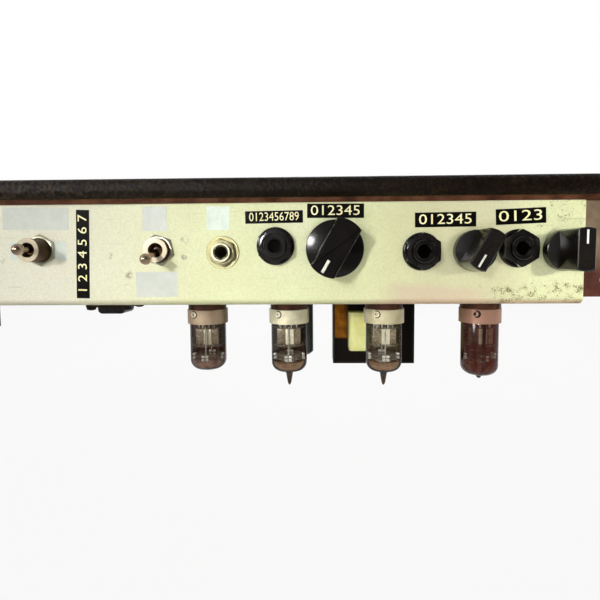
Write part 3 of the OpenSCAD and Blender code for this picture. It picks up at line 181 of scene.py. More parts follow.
def grain(size):
    """Scale of a pattern whose features have a size in millimetres."""
    return 1 / (size * MM)


def pitch(size):
    """Scale of bands that repeat at a size in millimetres."""
    return math.tau / 20 / (size * MM)


def between(material, value, start, full, last, end):
    """One from full to last, fading to nought at start and end."""
    rising = node(material, "fade", value, start, full)
    falling = node(material, "fade", value, end, last)
    return node(material, "multiply", rising, falling)


def mottled(name, dark, light, size, rough=(0.4, 0.6), metal=0.0, depth=0.05, shine=0.3):
    """Plain finish: two shades in clouds, uneven gloss and a fine grain."""
    material, shader, coords = new_material(name)
    clouds = node(material, "noise", coords, grain(size), 4, 0.55)
    shades = node(material, "ramp", clouds, stops=[(0.32, dark), (0.68, light)])
    link(material, shades, shader.inputs["Base Color"])
    fine = node(material, "noise", coords, grain(1.11), 3, 0.55)
    link(material, node(material, "fade", fine, 0.3, 0.7, *rough), shader.inputs["Roughness"])
    link(material, node(material, "bump", fine, depth * MM, 0.4), shader.inputs["Normal"])
    shader.inputs["Metallic"].default_value = metal
    shader.inputs["Specular IOR Level"].default_value = shine
    return material


def spot(material, coords, point, radius):
    """One close to a point, fading to nought at a radius, in millimetres."""
    away = node(material, "distance", coords, scaled(point))
    return node(material, "fade", away, radius * MM, radius * 0.35 * MM)


# Aged cream enamel on the two panels: yellow in the middle, paler to the left as painted light, and duller
# to the right as painted shade
def cream_enamel():
    material, shader, coords = new_material("cream_enamel")
    x = node(material, "axes", coords)[0]
    clouds = node(material, "noise", coords, grain(62.5), 5, 0.55)
    base = node(material, "ramp", clouds, stops=[(0.3, "#d9dba8"), (0.55, "#dfe2b2"), (0.75, "#e4e6bd")])
    # Paler to the left: painted light
    pale = node(material, "multiply", node(material, "fade", x, 0.05, -0.03), 0.8)
    tinted = node(material, "mix", pale, base, "#e4e0d2")
    # Darker and duller to the right: painted shade
    dull = between(material, x, 0.135, 0.165, 0.2, 0.215)
    tinted = node(material, "mix", node(material, "multiply", dull, 0.5), tinted, "#c6bc9c")
    tinted = painted_low_light(material, coords, tinted)
    patch = node(material, "noise", coords, grain(4.35), 4, 0.65)
    tinted = rusted(material, coords, patch, tinted)
    tinted = knocked(material, coords, patch, tinted)
    tinted = scratched(material, coords, tinted)
    # Fine orange-peel grain
    fine = node(material, "noise", coords, grain(0.769), 3, 0.55)
    peel = node(material, "fade", fine, 0.4, 0.68, 0.0, 0.3)
    link(material, node(material, "mix", peel, tinted, "#b7b58a"), shader.inputs["Base Color"])
    link(material, node(material, "fade", fine, 0.3, 0.7, 0.4, 0.55), shader.inputs["Roughness"])
    link(material, node(material, "bump", fine, 0.06 * MM, 0.25), shader.inputs["Normal"])
    return material


# Painted pink reflected light on the lower edge, and painted shade on the fold under the panel that turns to
# painted pink light to the right
def painted_low_light(material, coords, tinted):
    x, y, z = node(material, "axes", coords)
    clouds = node(material, "noise", coords, grain(35.7), 4, 0.6)
    ragged = node(material, "add", z, node(material, "multiply", clouds, 0.012))
    low = node(material, "fade", ragged, -0.009, -0.013)
    inside = between(material, x, 0.138, 0.15, 0.184, 0.196)
    # Pink low on the panel: painted reflected light
    pink_light = node(material, "multiply", node(material, "multiply", low, inside), 0.75)
    tinted = node(material, "mix", pink_light, tinted, "#d3bda3")
    # Darker fold under the panel: painted shade, turning to painted pink light at the right
    fold = node(material, "fade", z, -0.0238, -0.0258)
    tinted = node(material, "mix", node(material, "multiply", fold, 0.45), tinted, "#8f8865")
    right = node(material, "multiply", fold, node(material, "fade", x, 0.12, 0.15, 0, 0.7))
    return node(material, "mix", right, tinted, "#c39f86")


# Rust specks that gather in the lower right corner of the rear panel and high at its end
def rusted(material, coords, patch, tinted):
    x, y, z = node(material, "axes", coords)
    specks = node(material, "noise", coords, grain(0.667), 4, 0.7)
    low = node(material, "fade", z, -0.011, -0.018)
    corner = node(material, "multiply", node(material, "fade", x, 0.178, 0.2), low)
    high = node(material, "fade", z, 0.004, 0.012)
    streak = node(material, "multiply", node(material, "fade", x, 0.2, 0.215), high)
    zone = node(material, "highest", corner, node(material, "multiply", streak, 0.75))
    spread = node(material, "add", patch, specks)
    level = node(material, "add", spread, node(material, "multiply", zone, 0.34))
    return node(material, "mix", node(material, "fade", level, 1.37, 1.5), tinted, "#6f5f30")


# Knocks and smudges beside the switches: (x, z, radius)
def knocked(material, coords, patch, tinted):
    knocks = ((-57.0, -2.9, 2.2), (0.6, -1.7, 2.6), (9.7, -11.1, 2.6), (39.2, 6.8, 2.4), (38.7, -1.9, 2.0))
    for x, z, radius in knocks:
        mark = spot(material, coords, (x, PANEL_Y, z), radius)
        broken = node(material, "multiply", mark, node(material, "fade", patch, 0.45, 0.62))
        tinted = node(material, "mix", broken, tinted, "#776b4c")
    return tinted


# Hairline scratches along the panel
def scratched(material, coords, tinted):
    drawn_out = node(material, "stretch", coords, (grain(25), grain(16.7), grain(0.909)), (0.1, 0.12, 0.2))
    lines = node(material, "noise", drawn_out, 1, 2, 0.55)
    scratch = node(material, "multiply", node(material, "fade", lines, 0.7, 0.73), 0.4)
    return node(material, "mix", scratch, tinted, "#a59f80")


# Pebbled leathercloth over the board, with a painted lighter sheen towards the left and painted shade in the
# creases between the pebbles
def leathercloth():
    material, shader, coords = new_material("leathercloth")
    cells = node(material, "cells", coords, grain(1.613), feature="SMOOTH_F1")
    wear = node(material, "noise", coords, grain(16.7), 6, 0.7)
    x = node(material, "axes", coords)[0]
    base = node(material, "ramp", wear, stops=[(0.3, "#120a03"), (0.55, "#1f1507"), (0.8, "#3a2d17")])
    # Lighter towards the left: painted sheen
    painted_sheen = node(material, "multiply", node(material, "fade", x, 0.06, -0.05), 0.5)
    base = node(material, "mix", painted_sheen, base, "#4d4130")
    # Darker between the pebbles: painted shade
    crease_shade = node(material, "fade", cells, 0.1, 0.55)
    link(material, node(material, "mix", crease_shade, base, "#0a0502"), shader.inputs["Base Color"])
    link(material, node(material, "fade", wear, 0.3, 0.7, 0.42, 0.62), shader.inputs["Roughness"])
    pebbles = node(material, "fade", cells, 0.0, 0.6, 1, 0)
    link(material, node(material, "bump", pebbles, 0.4 * MM, 0.8), shader.inputs["Normal"])
    shader.inputs["Specular IOR Level"].default_value = 0.15
    return material


# Browned threads of the switch bushes, cut about the panel's normal, with the end face painted pale as
# painted light
def worn_threads(name, dark, light):
    material, shader, coords = new_material(name)
    rings = node(material, "bands", coords, pitch(0.806), 0.2, bands_direction="Y")
    clouds = node(material, "noise", coords, grain(4.55), 4, 0.55)
    threads = node(material, "ramp", clouds, stops=[(0.3, dark), (0.7, light)])
    # The end face, found by its normal, is painted pale and less metallic: painted light
    outward = node(material, "axes", node(material, "surface")["Normal"])[1]
    face = node(material, "fade", node(material, "absolute", outward), 0.9, 0.97)
    link(material, node(material, "mix", face, threads, "#c2b59a"), shader.inputs["Base Color"])
    link(material, node(material, "fade", clouds, 0.3, 0.7, 0.25, 0.45), shader.inputs["Roughness"])
    link(material, node(material, "fade", face, 0, 1, 1.0, 0.15), shader.inputs["Metallic"])
    link(material, node(material, "bump", rings, 0.3 * MM, 0.6), shader.inputs["Normal"])
    return material


# Varnished laminations: fine bands across the stack
def laminations(name, dark, light, direction):
    material, shader, coords = new_material(name)
    bands = node(material, "bands", coords, pitch(0.982), 1.2, bands_direction=direction)
    clouds = node(material, "noise", coords, grain(8.33), 5, 0.55)
    base = node(material, "ramp", clouds, stops=[(0.3, dark), (0.75, light)])
    lined = node(material, "mix", node(material, "multiply", bands, 0.5), base, "#160c05")
    if direction == "Y":
        # All but the upper part of the left leg is painted near black: painted shade
        x, y, z = node(material, "axes", coords)
        right = node(material, "fade", x, 0.1255, 0.13)
        lower = node(material, "fade", z, -0.0605, -0.0625)
        core_shade = node(material, "highest", right, lower)
        lined = node(material, "mix", core_shade, lined, "#0d0805")
    link(material, lined, shader.inputs["Base Color"])
    link(material, node(material, "fade", clouds, 0.3, 0.7, 0.3, 0.5), shader.inputs["Roughness"])
    shader.inputs["Specular IOR Level"].default_value = 0.1
    link(material, node(material, "bump", bands, 0.2 * MM, 0.5), shader.inputs["Normal"])
    return material


# Film tape wound round a coil, its turns showing as faint steps
def wound_tape(name, dark, light, direction):
    material, shader, coords = new_material(name)
    turns = node(material, "bands", coords, pitch(11.2), 0.6, bands_direction=direction, wave_profile="SAW")
    clouds = node(material, "noise", coords, grain(11.1), 4, 0.55)
    base = node(material, "ramp", clouds, stops=[(0.3, dark), (0.7, light)])
    stepped = node(material, "mix", node(material, "multiply", turns, 0.22), base, dark)
    link(material, stepped, shader.inputs["Base Color"])
    link(material, node(material, "fade", clouds, 0.3, 0.7, 0.2, 0.38), shader.inputs["Roughness"])
    link(material, node(material, "bump", turns, 0.15 * MM, 0.6), shader.inputs["Normal"])
    return material


# Blown bulb glass: a thin clear wall in front, brown film baked on in the dome, and a far half made dense
# dark brown as painted shade
def bulb_glass(name, film, clear, shaded_back_level, length):
    dome_z = (SEAT_Z - length) * MM
    wall_z = dome_z + 12 * MM
    material, shader, coords = new_material(name)
    x, y, z = node(material, "axes", coords)
    drawn_out = node(material, "stretch", coords, (1, 1, 0.05))
    streaks = node(material, "noise", drawn_out, grain(3.125), 3, 0.55)
    shades = node(material, "ramp", streaks, stops=[(0.35, film), (0.7, "#140b06")])
    link(material, shades, shader.inputs["Base Color"])
    # The far half and the flanks are nearly opaque dark brown: painted shade
    shaded_back = node(material, "fade", y, (ROW_Y - 5.5) * MM, (ROW_Y - 1) * MM, 0, shaded_back_level)
    deep = node(material, "fade", z, wall_z, dome_z, 0, 0.25)
    wall = node(material, "fade", streaks, 0.35, 0.65, clear * 0.5, clear * 1.5)
    film_level = node(material, "add", node(material, "highest", wall, shaded_back), deep)
    drawn_tip = node(material, "fade", z, dome_z - 3 * MM, dome_z - 1 * MM, 0.8, 1.0)
    link(material, node(material, "multiply", film_level, drawn_tip), shader.inputs["Alpha"])
    link(material, node(material, "fade", streaks, 0.3, 0.7, 0.03, 0.08), shader.inputs["Roughness"])
    shader.inputs["Specular IOR Level"].default_value = 0.2
    shader.inputs["Coat Weight"].default_value = 0.3
    shader.inputs["Coat Roughness"].default_value = 0.03
    return material


# Getter silvering inside the dome, thinning out along the wall
def getter_flash(name, deep, edge, length):
    dome_z = (SEAT_Z - length) * MM
    wall_z = dome_z + 7.6 * MM
    material, shader, coords = new_material(name)
    z = node(material, "axes", coords)[2]
    clouds = node(material, "noise", coords, grain(3.85), 4, 0.55)
    depth = node(material, "fade", z, wall_z, dome_z)
    shades = node(material, "ramp", depth, stops=[(0.05, edge), (0.6, deep), (1.0, "#7a5238")])
    link(material, shades, shader.inputs["Base Color"])
    patchy = node(material, "fade", clouds, 0.25, 0.7, 0.55, 1.0)
    uneven = node(material, "multiply", patchy, depth)
    link(material, node(material, "fade", uneven, 0.02, 0.45), shader.inputs["Alpha"])
    link(material, node(material, "fade", clouds, 0.3, 0.7, 0.12, 0.3), shader.inputs["Roughness"])
    shader.inputs["Metallic"].default_value = 0.4
    return material


# Split mica: pale and glittering
def mica():
    material, shader, coords = new_material("mica")
    glitter = node(material, "cells", coords, grain(1.11))
    shades = node(material, "ramp", glitter, stops=[(0.0, "#fffaf0"), (0.7, "#cdbf9f")])
    link(material, shades, shader.inputs["Base Color"])
    link(material, node(material, "fade", glitter, 0.1, 0.6, 0.08, 0.4), shader.inputs["Roughness"])
    link(material, node(material, "bump", glitter, 0.3 * MM, 0.9), shader.inputs["Normal"])
    shader.inputs["Alpha"].default_value = 0.3
    return material


# Adhesive label strips, and the ink and filler on the parts, a little grubby
def label_tape(name, dark, light, alpha=1.0, rough=(0.3, 0.5), shine=0.3):
    material, shader, coords = new_material(name)
    grime = node(material, "noise", coords, grain(6.67), 6, 0.65)
    shades = node(material, "ramp", grime, stops=[(0.3, dark), (0.7, light)])
    link(material, shades, shader.inputs["Base Color"])
    fine = node(material, "noise", coords, grain(0.714), 2, 0.55)
    link(material, node(material, "fade", grime, 0.3, 0.7, *rough), shader.inputs["Roughness"])
    shader.inputs["Alpha"].default_value = alpha
    shader.inputs["Specular IOR Level"].default_value = shine
    link(material, node(material, "bump", fine, 0.04 * MM, 0.4), shader.inputs["Normal"])
    return material


# Dipped and wrapped parts on the circuit board, in a few colours by place
def dipped_parts():
    material, shader, coords = new_material("dipped_parts")
    x, y, z = node(material, "axes", coords)
    cell = node(material, "add", node(material, "multiply", x, grain(14)), 0.15)
    steps = node(material, "scatter", node(material, "whole", cell))
    paints = [(0.0, "#c8782a"), (0.4, "#8a3b22"), (0.7, "#c9b37a"), (1.0, "#3c5a6e")]
    paint = node(material, "ramp", steps, stops=paints)
    from_middle = node(material, "absolute", node(material, "add", y, -0.093))
    wire = node(material, "fade", from_middle, 0.011, 0.0112)
    link(material, node(material, "mix", wire, paint, "#b9b7ae"), shader.inputs["Base Color"])
    clouds = node(material, "noise", coords, grain(3.33), 3, 0.55)
    link(material, node(material, "fade", clouds, 0.3, 0.7, 0.25, 0.5), shader.inputs["Roughness"])
    return material


# Shield plate coloured along the row as painted light: darker bronze at the left and copper-pink at the
# right
def shield_plate():
    material, shader, coords = new_material("tarnished_shield_plate")
    x, y, z = node(material, "axes", coords)
    # The ramp along the row is painted light: darker at the left, brightest near the second valve,
    # copper-pink at the right
    shades = [(0.1, "#b09a80"), (0.2, "#eee8c6"), (0.7, "#cfc49c"), (0.92, "#a67e6a")]
    along = node(material, "ramp", node(material, "fade", x, 0.04, 0.21), stops=shades)
    clouds = node(material, "noise", coords, grain(7.14), 4, 0.55)
    dirt = node(material, "fade", clouds, 0.45, 0.75, 0, 0.35)
    soiled = node(material, "mix", dirt, along, "#6b5643")
    high = node(material, "fade", z, -0.0343, -0.0338)
    link(material, node(material, "mix", high, soiled, "#4a3425"), shader.inputs["Base Color"])
    link(material, node(material, "fade", clouds, 0.3, 0.7, 0.36, 0.5), shader.inputs["Roughness"])
    shader.inputs["Metallic"].default_value = 0.4
    return material


# End plates browned all over and redder lower down
def oxidised_steel():
    material, shader, coords = new_material("oxidised_steel")
    z = node(material, "axes", coords)[2]
    clouds = node(material, "noise", coords, grain(14.3), 5, 0.6)
    brown = node(material, "ramp", clouds, stops=[(0.3, "#6e5c4a"), (0.7, "#9c866c")])
    red = node(material, "ramp", clouds, stops=[(0.3, "#3f211b"), (0.7, "#6a4137")])
    reddened = node(material, "mix", node(material, "fade", z, 0.004, -0.012), brown, red)
    link(material, reddened, shader.inputs["Base Color"])
    link(material, node(material, "fade", clouds, 0.3, 0.7, 0.45, 0.65), shader.inputs["Roughness"])
    shader.inputs["Metallic"].default_value = 0.2
    shader.inputs["Specular IOR Level"].default_value = 0.2
    return material


CREAM = cream_enamel()
CLOTH = leathercloth()
# Zinc plate gone dull: grey, with soft and uneven highlights
SHEET = mottled("dull_zinc_sheet", "#8f8c7a", "#b5b2a0", 16.7, (0.35, 0.55), 0.8)
ZINC = mottled("dull_zinc_plate", "#9a9880", "#c9c8aa", 3.85, (0.22, 0.42), 1.0)
# Oxide on screws and in creases: nearly black, with hardly a shine
OXIDE = mottled("black_oxide", "#14110e", "#2b2520", 5, (0.4, 0.6), shine=0.15)
# Nickel plate, worn satin on the nuts and yellowed on the plated jack
NUT = mottled("worn_nickel_nut", "#98967f", "#bcbaa3", 7.14, (0.26, 0.4), 1.0)
GOLD = mottled("yellowed_nut", "#8a8560", "#a6a078", 11.1, (0.38, 0.5), 0.9)
STEEL = oxidised_steel()
# Pressed fibre and raw wood: matt, in soft clouds of brown
FIBRE = mottled("vulcanised_fibre", "#341a10", "#62402c", 8.33, (0.6, 0.8), shine=0.1)
PLY = mottled("raw_plywood", "#8f6d43", "#b89666", 16.7, (0.6, 0.8))
BUSH = worn_threads("worn_threads", "#33241a", "#6d5743")
# Polished plate on the levers: small, sharp highlights
LEVER = mottled("plated_lever", "#8a7662", "#bda78f", 5, (0.12, 0.22), 1.0)
# Moulded phenolic: nearly black with clear reflections, and a half-matt brown for the sockets
MOULDING = mottled("black_moulding", "#070504", "#15110d", 6.67, (0.1, 0.18), depth=0.01, shine=0.55)
GLOSSY_KNOB = mottled("glossy_phenolic", "#0a0705", "#18130e", 8.33, (0.14, 0.24), depth=0.01, shine=0.62)
KNOB = mottled("polished_phenolic", "#060403", "#110d0a", 8.33, (0.12, 0.2), depth=0.01, shine=0.27)
SOCKET = mottled("brown_phenolic", "#3a2014", "#5c3826", 6.25, (0.3, 0.5))
# Nickel and tin in the valves and on their collars: pale, with broad highlights
NICKEL = mottled("grey_anode", "#7d725c", "#aa9e80", 8.33, (0.2, 0.32), 0.4, shine=0.5)
# The seam flanges are near white: a painted highlight on a real flange
SEAM = mottled("bright_seam", "#efe6c4", "#fff8df", 6.25, (0.2, 0.3), 0.2, shine=0.6)
EYELET = mottled("tinned_eyelet", "#d8d2b4", "#f0ebd2", 3.33, (0.3, 0.45), 0.3)
WIRE = mottled("nickel_wire", "#a5a294", "#dedbc8", 3.33, (0.2, 0.35), 0.4)
CORE_UP = laminations("amber_laminations", "#6a3c06", "#c47c1c", "Y")
CORE_FLAT = laminations("black_laminations", "#1f1a16", "#3d332a", "Z")
TAPE_YELLOW = wound_tape("yellow_film_tape", "#eeeb8e", "#fcfab4", "Z")
TAPE_PAPER = wound_tape("varnished_paper", "#5c3d18", "#a9813f", "Y")
TAPE_DARK = wound_tape("black_cloth_tape", "#17120f", "#2c2521", "Y")
# Stoved black enamel and the capacitor's plastic sleeve: half gloss
ENAMEL = mottled("black_enamel", "#0b0908", "#1d1916", 12.5, (0.3, 0.5), shine=0.2)
CAN = mottled("sleeved_can", "#1f262a", "#3d484d", 16.7, (0.25, 0.4), 0.2)
# Moulded lens of the pilot lamp: clear, glossy red
JEWEL = mottled("red_jewel", "#8a1410", "#d63a28", 5, (0.05, 0.15))
# Paper laminate of the circuit board: matt brown
LAMINATE = mottled("paper_laminate", "#7a5a2e", "#a27e48", 11.1, (0.4, 0.6))
PARTS = dipped_parts()
MICA = mica()
# Bent claws of mica, which catch the light
CLAW = mottled("bright_mica_claw", "#efe8d6", "#fffdf6", 1.11, (0.2, 0.4), shine=0.8)
# Tapes, filler and ink: black with little shine, the pale ones with a soft one
BLACK_LABEL = label_tape("black_label_tape", "#040302", "#0c0907", shine=0.06)
CLEAR_LABEL = label_tape("clear_label_tape", "#dbe0d2", "#ecefe5", 0.75, (0.3, 0.45))
WHITE_LABEL = label_tape("white_label_tape", "#cfdccb", "#e9f2e3", 1.0, (0.35, 0.6))
LEGEND = label_tape("pale_legend_plate", "#ccd3c6", "#dfe5d9", 1.0, (0.3, 0.45))
WHITE_LINE = label_tape("white_filler", "#d9d8c8", "#f4f4ea", 1.0, (0.4, 0.6))
PALE_INK = label_tape("pale_yellow_ink", "#efe79c", "#fffad0", 1.0, (0.4, 0.6))

NODE_MATERIALS = {
    "chassis": SHEET, "rear_panel": CREAM, "front_panel": CREAM, "end_plates": STEEL,
    "screws_and_bolts": OXIDE, "fibre_sheet": FIBRE, "top_board": PLY, "board_cloth": CLOTH,
    "mode_switch": BUSH, "standby_switch": BUSH, "power_switch": BUSH,
    "mode_lever": LEVER, "standby_lever": LEVER, "power_lever": LEVER,
    "line_jack": GOLD, "moulded_jacks": MOULDING, "jack_nuts": MOULDING, "pots": ZINC, "panel_nuts": ZINC,
    "valve_sockets": SOCKET, "socket_shields": shield_plate(),
    "output_transformer_core": CORE_UP, "output_transformer_coil": TAPE_YELLOW,
    "output_transformer_bracket": ENAMEL, "power_transformer_core": CORE_FLAT,
    "power_transformer_coil": TAPE_PAPER, "power_transformer_cover": ENAMEL,
    "choke_core": CORE_FLAT, "choke_coil": TAPE_DARK, "filter_capacitor": CAN, "capacitor_clamp": ZINC,
    "mains_inlet": MOULDING, "inlet_blades": ZINC, "fuse_holder": MOULDING, "fuse_cap": MOULDING,
    "pilot_lamp": JEWEL, "circuit_board": LAMINATE, "board_parts": PARTS,
}
for control in CONTROLS:
    NODE_MATERIALS[control + "_shaft"] = ZINC
    NODE_MATERIALS[control + "_knob"] = KNOB
for name, material in NODE_MATERIALS.items():
    slots = frame["nodes"][name].data.materials
    slots.clear()
    slots.append(material)


# Modelling helpers, in millimetres

def deselect():
    bpy.ops.object.select_all(action="DESELECT")


def select_alone(piece):
    """Selects one piece and makes it active."""
    deselect()
    piece.select_set(True)
    bpy.context.view_layer.objects.active = piece


def finish_piece(piece, name, material, body, place=(0, 0, 0), turn=(0, 0, 0), smooth=35):
    """Names a piece, moves it to its place in its mesh, and lets it ride a body."""
    piece.name = name
    piece.location = scaled(place)
    piece.rotation_euler = [math.radians(a) for a in turn]
    select_alone(piece)
    bpy.ops.object.transform_apply(location=True, rotation=True, scale=True)
    bpy.ops.object.shade_smooth_by_angle(angle=math.radians(smooth))
    piece.data.materials.clear()
    piece.data.materials.append(material)
    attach(piece, body)
    return piece


def spun(outline, steps=64):
    """Draws an outline of (radius, height) point by point and spins it about Z."""
    deselect()
    bpy.ops.mesh.primitive_plane_add(size=MM)
    bpy.ops.object.mode_set(mode="EDIT")
    bpy.ops.mesh.select_all(action="SELECT")
    bpy.ops.mesh.merge(type="CENTER")
    bpy.ops.transform.translate(value=(outline[0][0] * MM, 0, outline[0][1] * MM))
    for (r0, z0), (r1, z1) in zip(outline, outline[1:]):
        step = ((r1 - r0) * MM, 0, (z1 - z0) * MM)
        bpy.ops.mesh.extrude_vertices_move(TRANSFORM_OT_translate={"value": step})
    bpy.ops.mesh.select_all(action="SELECT")
    bpy.ops.mesh.spin(steps=steps, angle=math.tau, center=(0, 0, 0), axis=(0, 0, 1))
    bpy.ops.mesh.select_all(action="SELECT")
    bpy.ops.mesh.remove_doubles(threshold=0.000002)
    bpy.ops.mesh.normals_make_consistent(inside=False)
    bpy.ops.object.mode_set(mode="OBJECT")
    return bpy.context.object


def block(size, bevel, segments=2):
    """Box about the origin with bevelled edges."""
    deselect()
    bpy.ops.mesh.primitive_cube_add(size=1)
    box = bpy.context.object
    box.scale = scaled(size)
    bpy.ops.object.transform_apply(location=False, rotation=False, scale=True)
    rounded = box.modifiers.new("edges", "BEVEL")
    rounded.width = bevel * MM
    rounded.segments = segments
    bpy.ops.object.modifier_apply(modifier=rounded.name)
    return box


def joined(pieces):
    """Joins pieces into one mesh."""
    deselect()
    for piece in pieces:
        piece.select_set(True)
    bpy.context.view_layer.objects.active = pieces[0]
    bpy.ops.object.transform_apply(location=True, rotation=True, scale=True)
    bpy.ops.object.join()
    return bpy.context.object


def copy_of(piece):
    """Copy with its own mesh, selected alone."""
    select_alone(piece)
    bpy.ops.object.duplicate()
    return bpy.context.object


def arc(centre_r, centre_z, radius, start, end, steps):
    """Points of an arc in (radius, height), angles in degrees."""
    points = []
    for i in range(steps + 1):
        angle = math.radians(start + (end - start) * i / steps)
        points.append((centre_r + radius * math.cos(angle), centre_z + radius * math.sin(angle)))
    return points


# Adhesive labels on the rear panel

def label(name, left, right, low, high, material, tilt=0, figures="", upright=False):
    """Strip of tape on the panel, bare or with plain figures on it."""
    thick = 0.14
    strip = block((right - left, high - low, thick), 0.06, 1)
    place = ((left + right) / 2, PANEL_Y - thick / 2, (low + high) / 2)
    pieces = [finish_piece(strip, name, material, HULL, place, (90, 0, 0))]
    if figures:
        across, along = (right - left, high - low) if upright else (high - low, right - left)
        numbers = figure_row(figures, across * 0.72, along * 0.86)
        numbers.data.transform(Matrix.Translation((0, 0, thick / 2 * MM)))
        turn = (90, -90 if upright else 0, 0)
        pieces.append(finish_piece(numbers, name + "_figures", PALE_INK, HULL, place, turn))
    if tilt:
        for piece in pieces:
            turn_flat(piece, place, tilt)


def figure_row(figures, height, length):
    """Raised figures, centred and stretched to a length."""
    deselect()
    bpy.ops.object.text_add()
    row = bpy.context.object
    row.data.body = figures
    row.data.align_x = "CENTER"
    row.data.align_y = "CENTER"
    row.data.size = height * 1.35 * MM
    row.data.extrude = 0.03 * MM
    row.data.resolution_u = 3
    bpy.ops.object.convert(target="MESH")
    row = bpy.context.object
    row.scale.x = min(1.6, length * MM / row.dimensions.x)
    bpy.ops.object.transform_apply(location=False, rotation=False, scale=True)
    return row


def turn_flat(piece, place, tilt):
    """Turns a label on the panel about its own middle."""
    middle = Vector(scaled(place))
    turn = Matrix.Rotation(math.radians(tilt), 4, "Y")
    piece.data.transform(Matrix.Translation(middle) @ turn @ Matrix.Translation(-middle))


label("legend_plate", -52.2, -22.6, -3.1, 6.4, LEGEND)
label("clear_label_left", -55.6, -20.9, 12.4, 24.0, CLEAR_LABEL, 0.6)
label("black_label_upright", -17.5, -10.6, -23.1, 22.6, BLACK_LABEL, 1.7, "1 2 3 4 5 6 7", True)
label("clear_label_above", 17.6, 30.2, 11.4, 24.0, CLEAR_LABEL)
label("clear_label_below", 13.4, 35.0, -22.6, -9.5, CLEAR_LABEL, -0.8)
label("white_label", 50.7, 62.7, 11.7, 23.8, WHITE_LABEL, 1.0)
label("black_label_1", 70.6, 100.1, 14.9, 21.2, BLACK_LABEL, -0.7, "0123456789")
label("black_label_2", 102.2, 131.0, 17.3, 24.5, BLACK_LABEL, 0.4, "012345")
label("black_label_3", 156.6, 187.2, 12.3, 19.7, BLACK_LABEL, -0.5, "012345")
label("black_label_4", 196.9, 221.8, 13.5, 21.3, BLACK_LABEL, -2.2, "0123")


# Nuts and washers on the panel

def hex_nut(across, bore, height):
    """Hexagon nut with chamfered corners and a bore, standing on the panel."""
    corner, flat, inner = across / math.sqrt(3), across / 2, bore / 2
    deselect()
    bpy.ops.mesh.primitive_cylinder_add(
        vertices=6, radius=corner * MM, depth=height * MM, location=(0, 0, height / 2 * MM))
    nut = bpy.context.object
    bpy.ops.object.transform_apply(location=True)
    side = [(corner - 0.2, 0), (corner + 0.1, 0.2), (corner + 0.1, height - 0.7), (flat, height)]
    mouth = [(inner, height - 0.35), (inner + 0.5, height + 0.15), (inner + 0.5, height + 1)]
    turned = spun([(0, 0)] + side + [(0, height)], 48)
    hole = spun([(0, -1), (inner, -1)] + mouth + [(0, height + 1)], 48)
    for tool, kind in ((turned, "INTERSECT"), (hole, "DIFFERENCE")):
        carve = nut.modifiers.new("carve", "BOOLEAN")
        carve.operation = kind
        carve.object = tool
        select_alone(nut)
        bpy.ops.object.modifier_apply(modifier=carve.name)
        deselect()
        tool.select_set(True)
        bpy.ops.object.delete()
    return nut


def washer(diameter, bore, height):
    """Flat washer with a softened upper edge."""
    outer, inner, edge = diameter / 2, bore / 2, 0.15
    rim = [(outer, 0), (outer, height - edge), (outer - edge, height)]
    return spun([(inner, 0)] + rim + [(inner, height), (inner, 0)], 64)


def facing(place):
    """The point of the nearer panel's face at a place, and the turn from +Z to face away from it."""
    x, y, z = place
    if y > ROW_Y:
        return (x, FRONT_Y, z), (90, 0, 180)
    return (x, PANEL_Y, z), (90, 0, 0)


def on_panel(piece, name, material, place, lift=0.0, spin=0):
    """Stands a piece modelled along +Z on the panel at a place, turned in its plane."""
    piece.data.transform(Matrix.Translation((0, 0, lift * MM)) @ Matrix.Rotation(math.radians(spin), 4, "Z"))
    return finish_piece(piece, name, material, HULL, *facing(place))


LINE_JACK = PLACES["line_jack"]
# Thickness of the plated jack's washer, and height of its bush over the panel
WASHER_T = 0.8
BUSH_END = 5.2
for switch, nut_turn in (("mode", 0), ("standby", 12), ("power", 0)):
    nut = hex_nut(across=14.3, bore=12.1, height=2.0)
    standing = on_panel(nut, switch + "_switch_nut", NUT, PLACES[switch + "_lever_throw"], spin=nut_turn)
    if switch == "mode":
        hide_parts("panel_nuts")
lip = [(3.8, -0.3), (4.7, -0.3), (4.7, 0.0), (4.45, 0.2), (4.0, 0.2), (3.8, 0.0), (3.8, -0.3)]
# The mouth ring is near black: painted shade in the mouth of the bore
mouth = [(3.28, -0.3), (3.85, -0.3), (3.85, 0.06), (3.5, 0.04), (3.28, -0.1), (3.28, -0.3)]
on_panel(washer(17.0, 9.6, WASHER_T), "line_jack_washer", GOLD, LINE_JACK)
on_panel(hex_nut(12.7, 9.6, 2.2), "line_jack_nut", GOLD, LINE_JACK, WASHER_T, 8)
on_panel(spun(lip, 48), "line_jack_lip", EYELET, LINE_JACK, BUSH_END)
on_panel(spun(mouth, 48), "line_jack_mouth", OXIDE, LINE_JACK, BUSH_END)
for control in CONTROLS:
    at = PLACES[control + "_turn"]
    on_panel(hex_nut(across=11.0, bore=9.6, height=2.0), "control_nut_%d" % at[0], NUT, at)


# Moulded jack nuts: round flange, hexagon and the ribbed nose ring

def jack_nut():
    flange_t = 2.0
    rim = [(9.3, 0), (9.65, 0.3), (9.65, 1.5), (9.4, 1.9), (9.0, 2.1), (8.6, flange_t)]
    flange = spun([(5.9, 0)] + rim + [(5.9, flange_t), (5.9, 0)], 72)
    nut = hex_nut(16.4, 11.8, 4.2)
    nut.location = scaled((0, 0, flange_t))
    ribs = [(5.8, 7.0), (5.5, 7.3), (4.9, 7.3), (4.7, 7.05), (4.2, 7.05), (4.0, 7.25), (3.6, 7.25)]
    nose = spun([(3.4, 6.0), (5.8, 6.0)] + ribs + [(3.4, 7.0), (3.4, 6.0)], 64)
    return joined([flange, nut, nose])


for jack in JACKS:
    standing = on_panel(jack_nut(), jack + "_jack_nut", MOULDING, PLACES[jack + "_jack"])
    if jack == "footswitch":
        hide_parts("jack_nuts")


# Toggle levers: a thin neck that ends in a ball, on a pivot ball with its cross pin

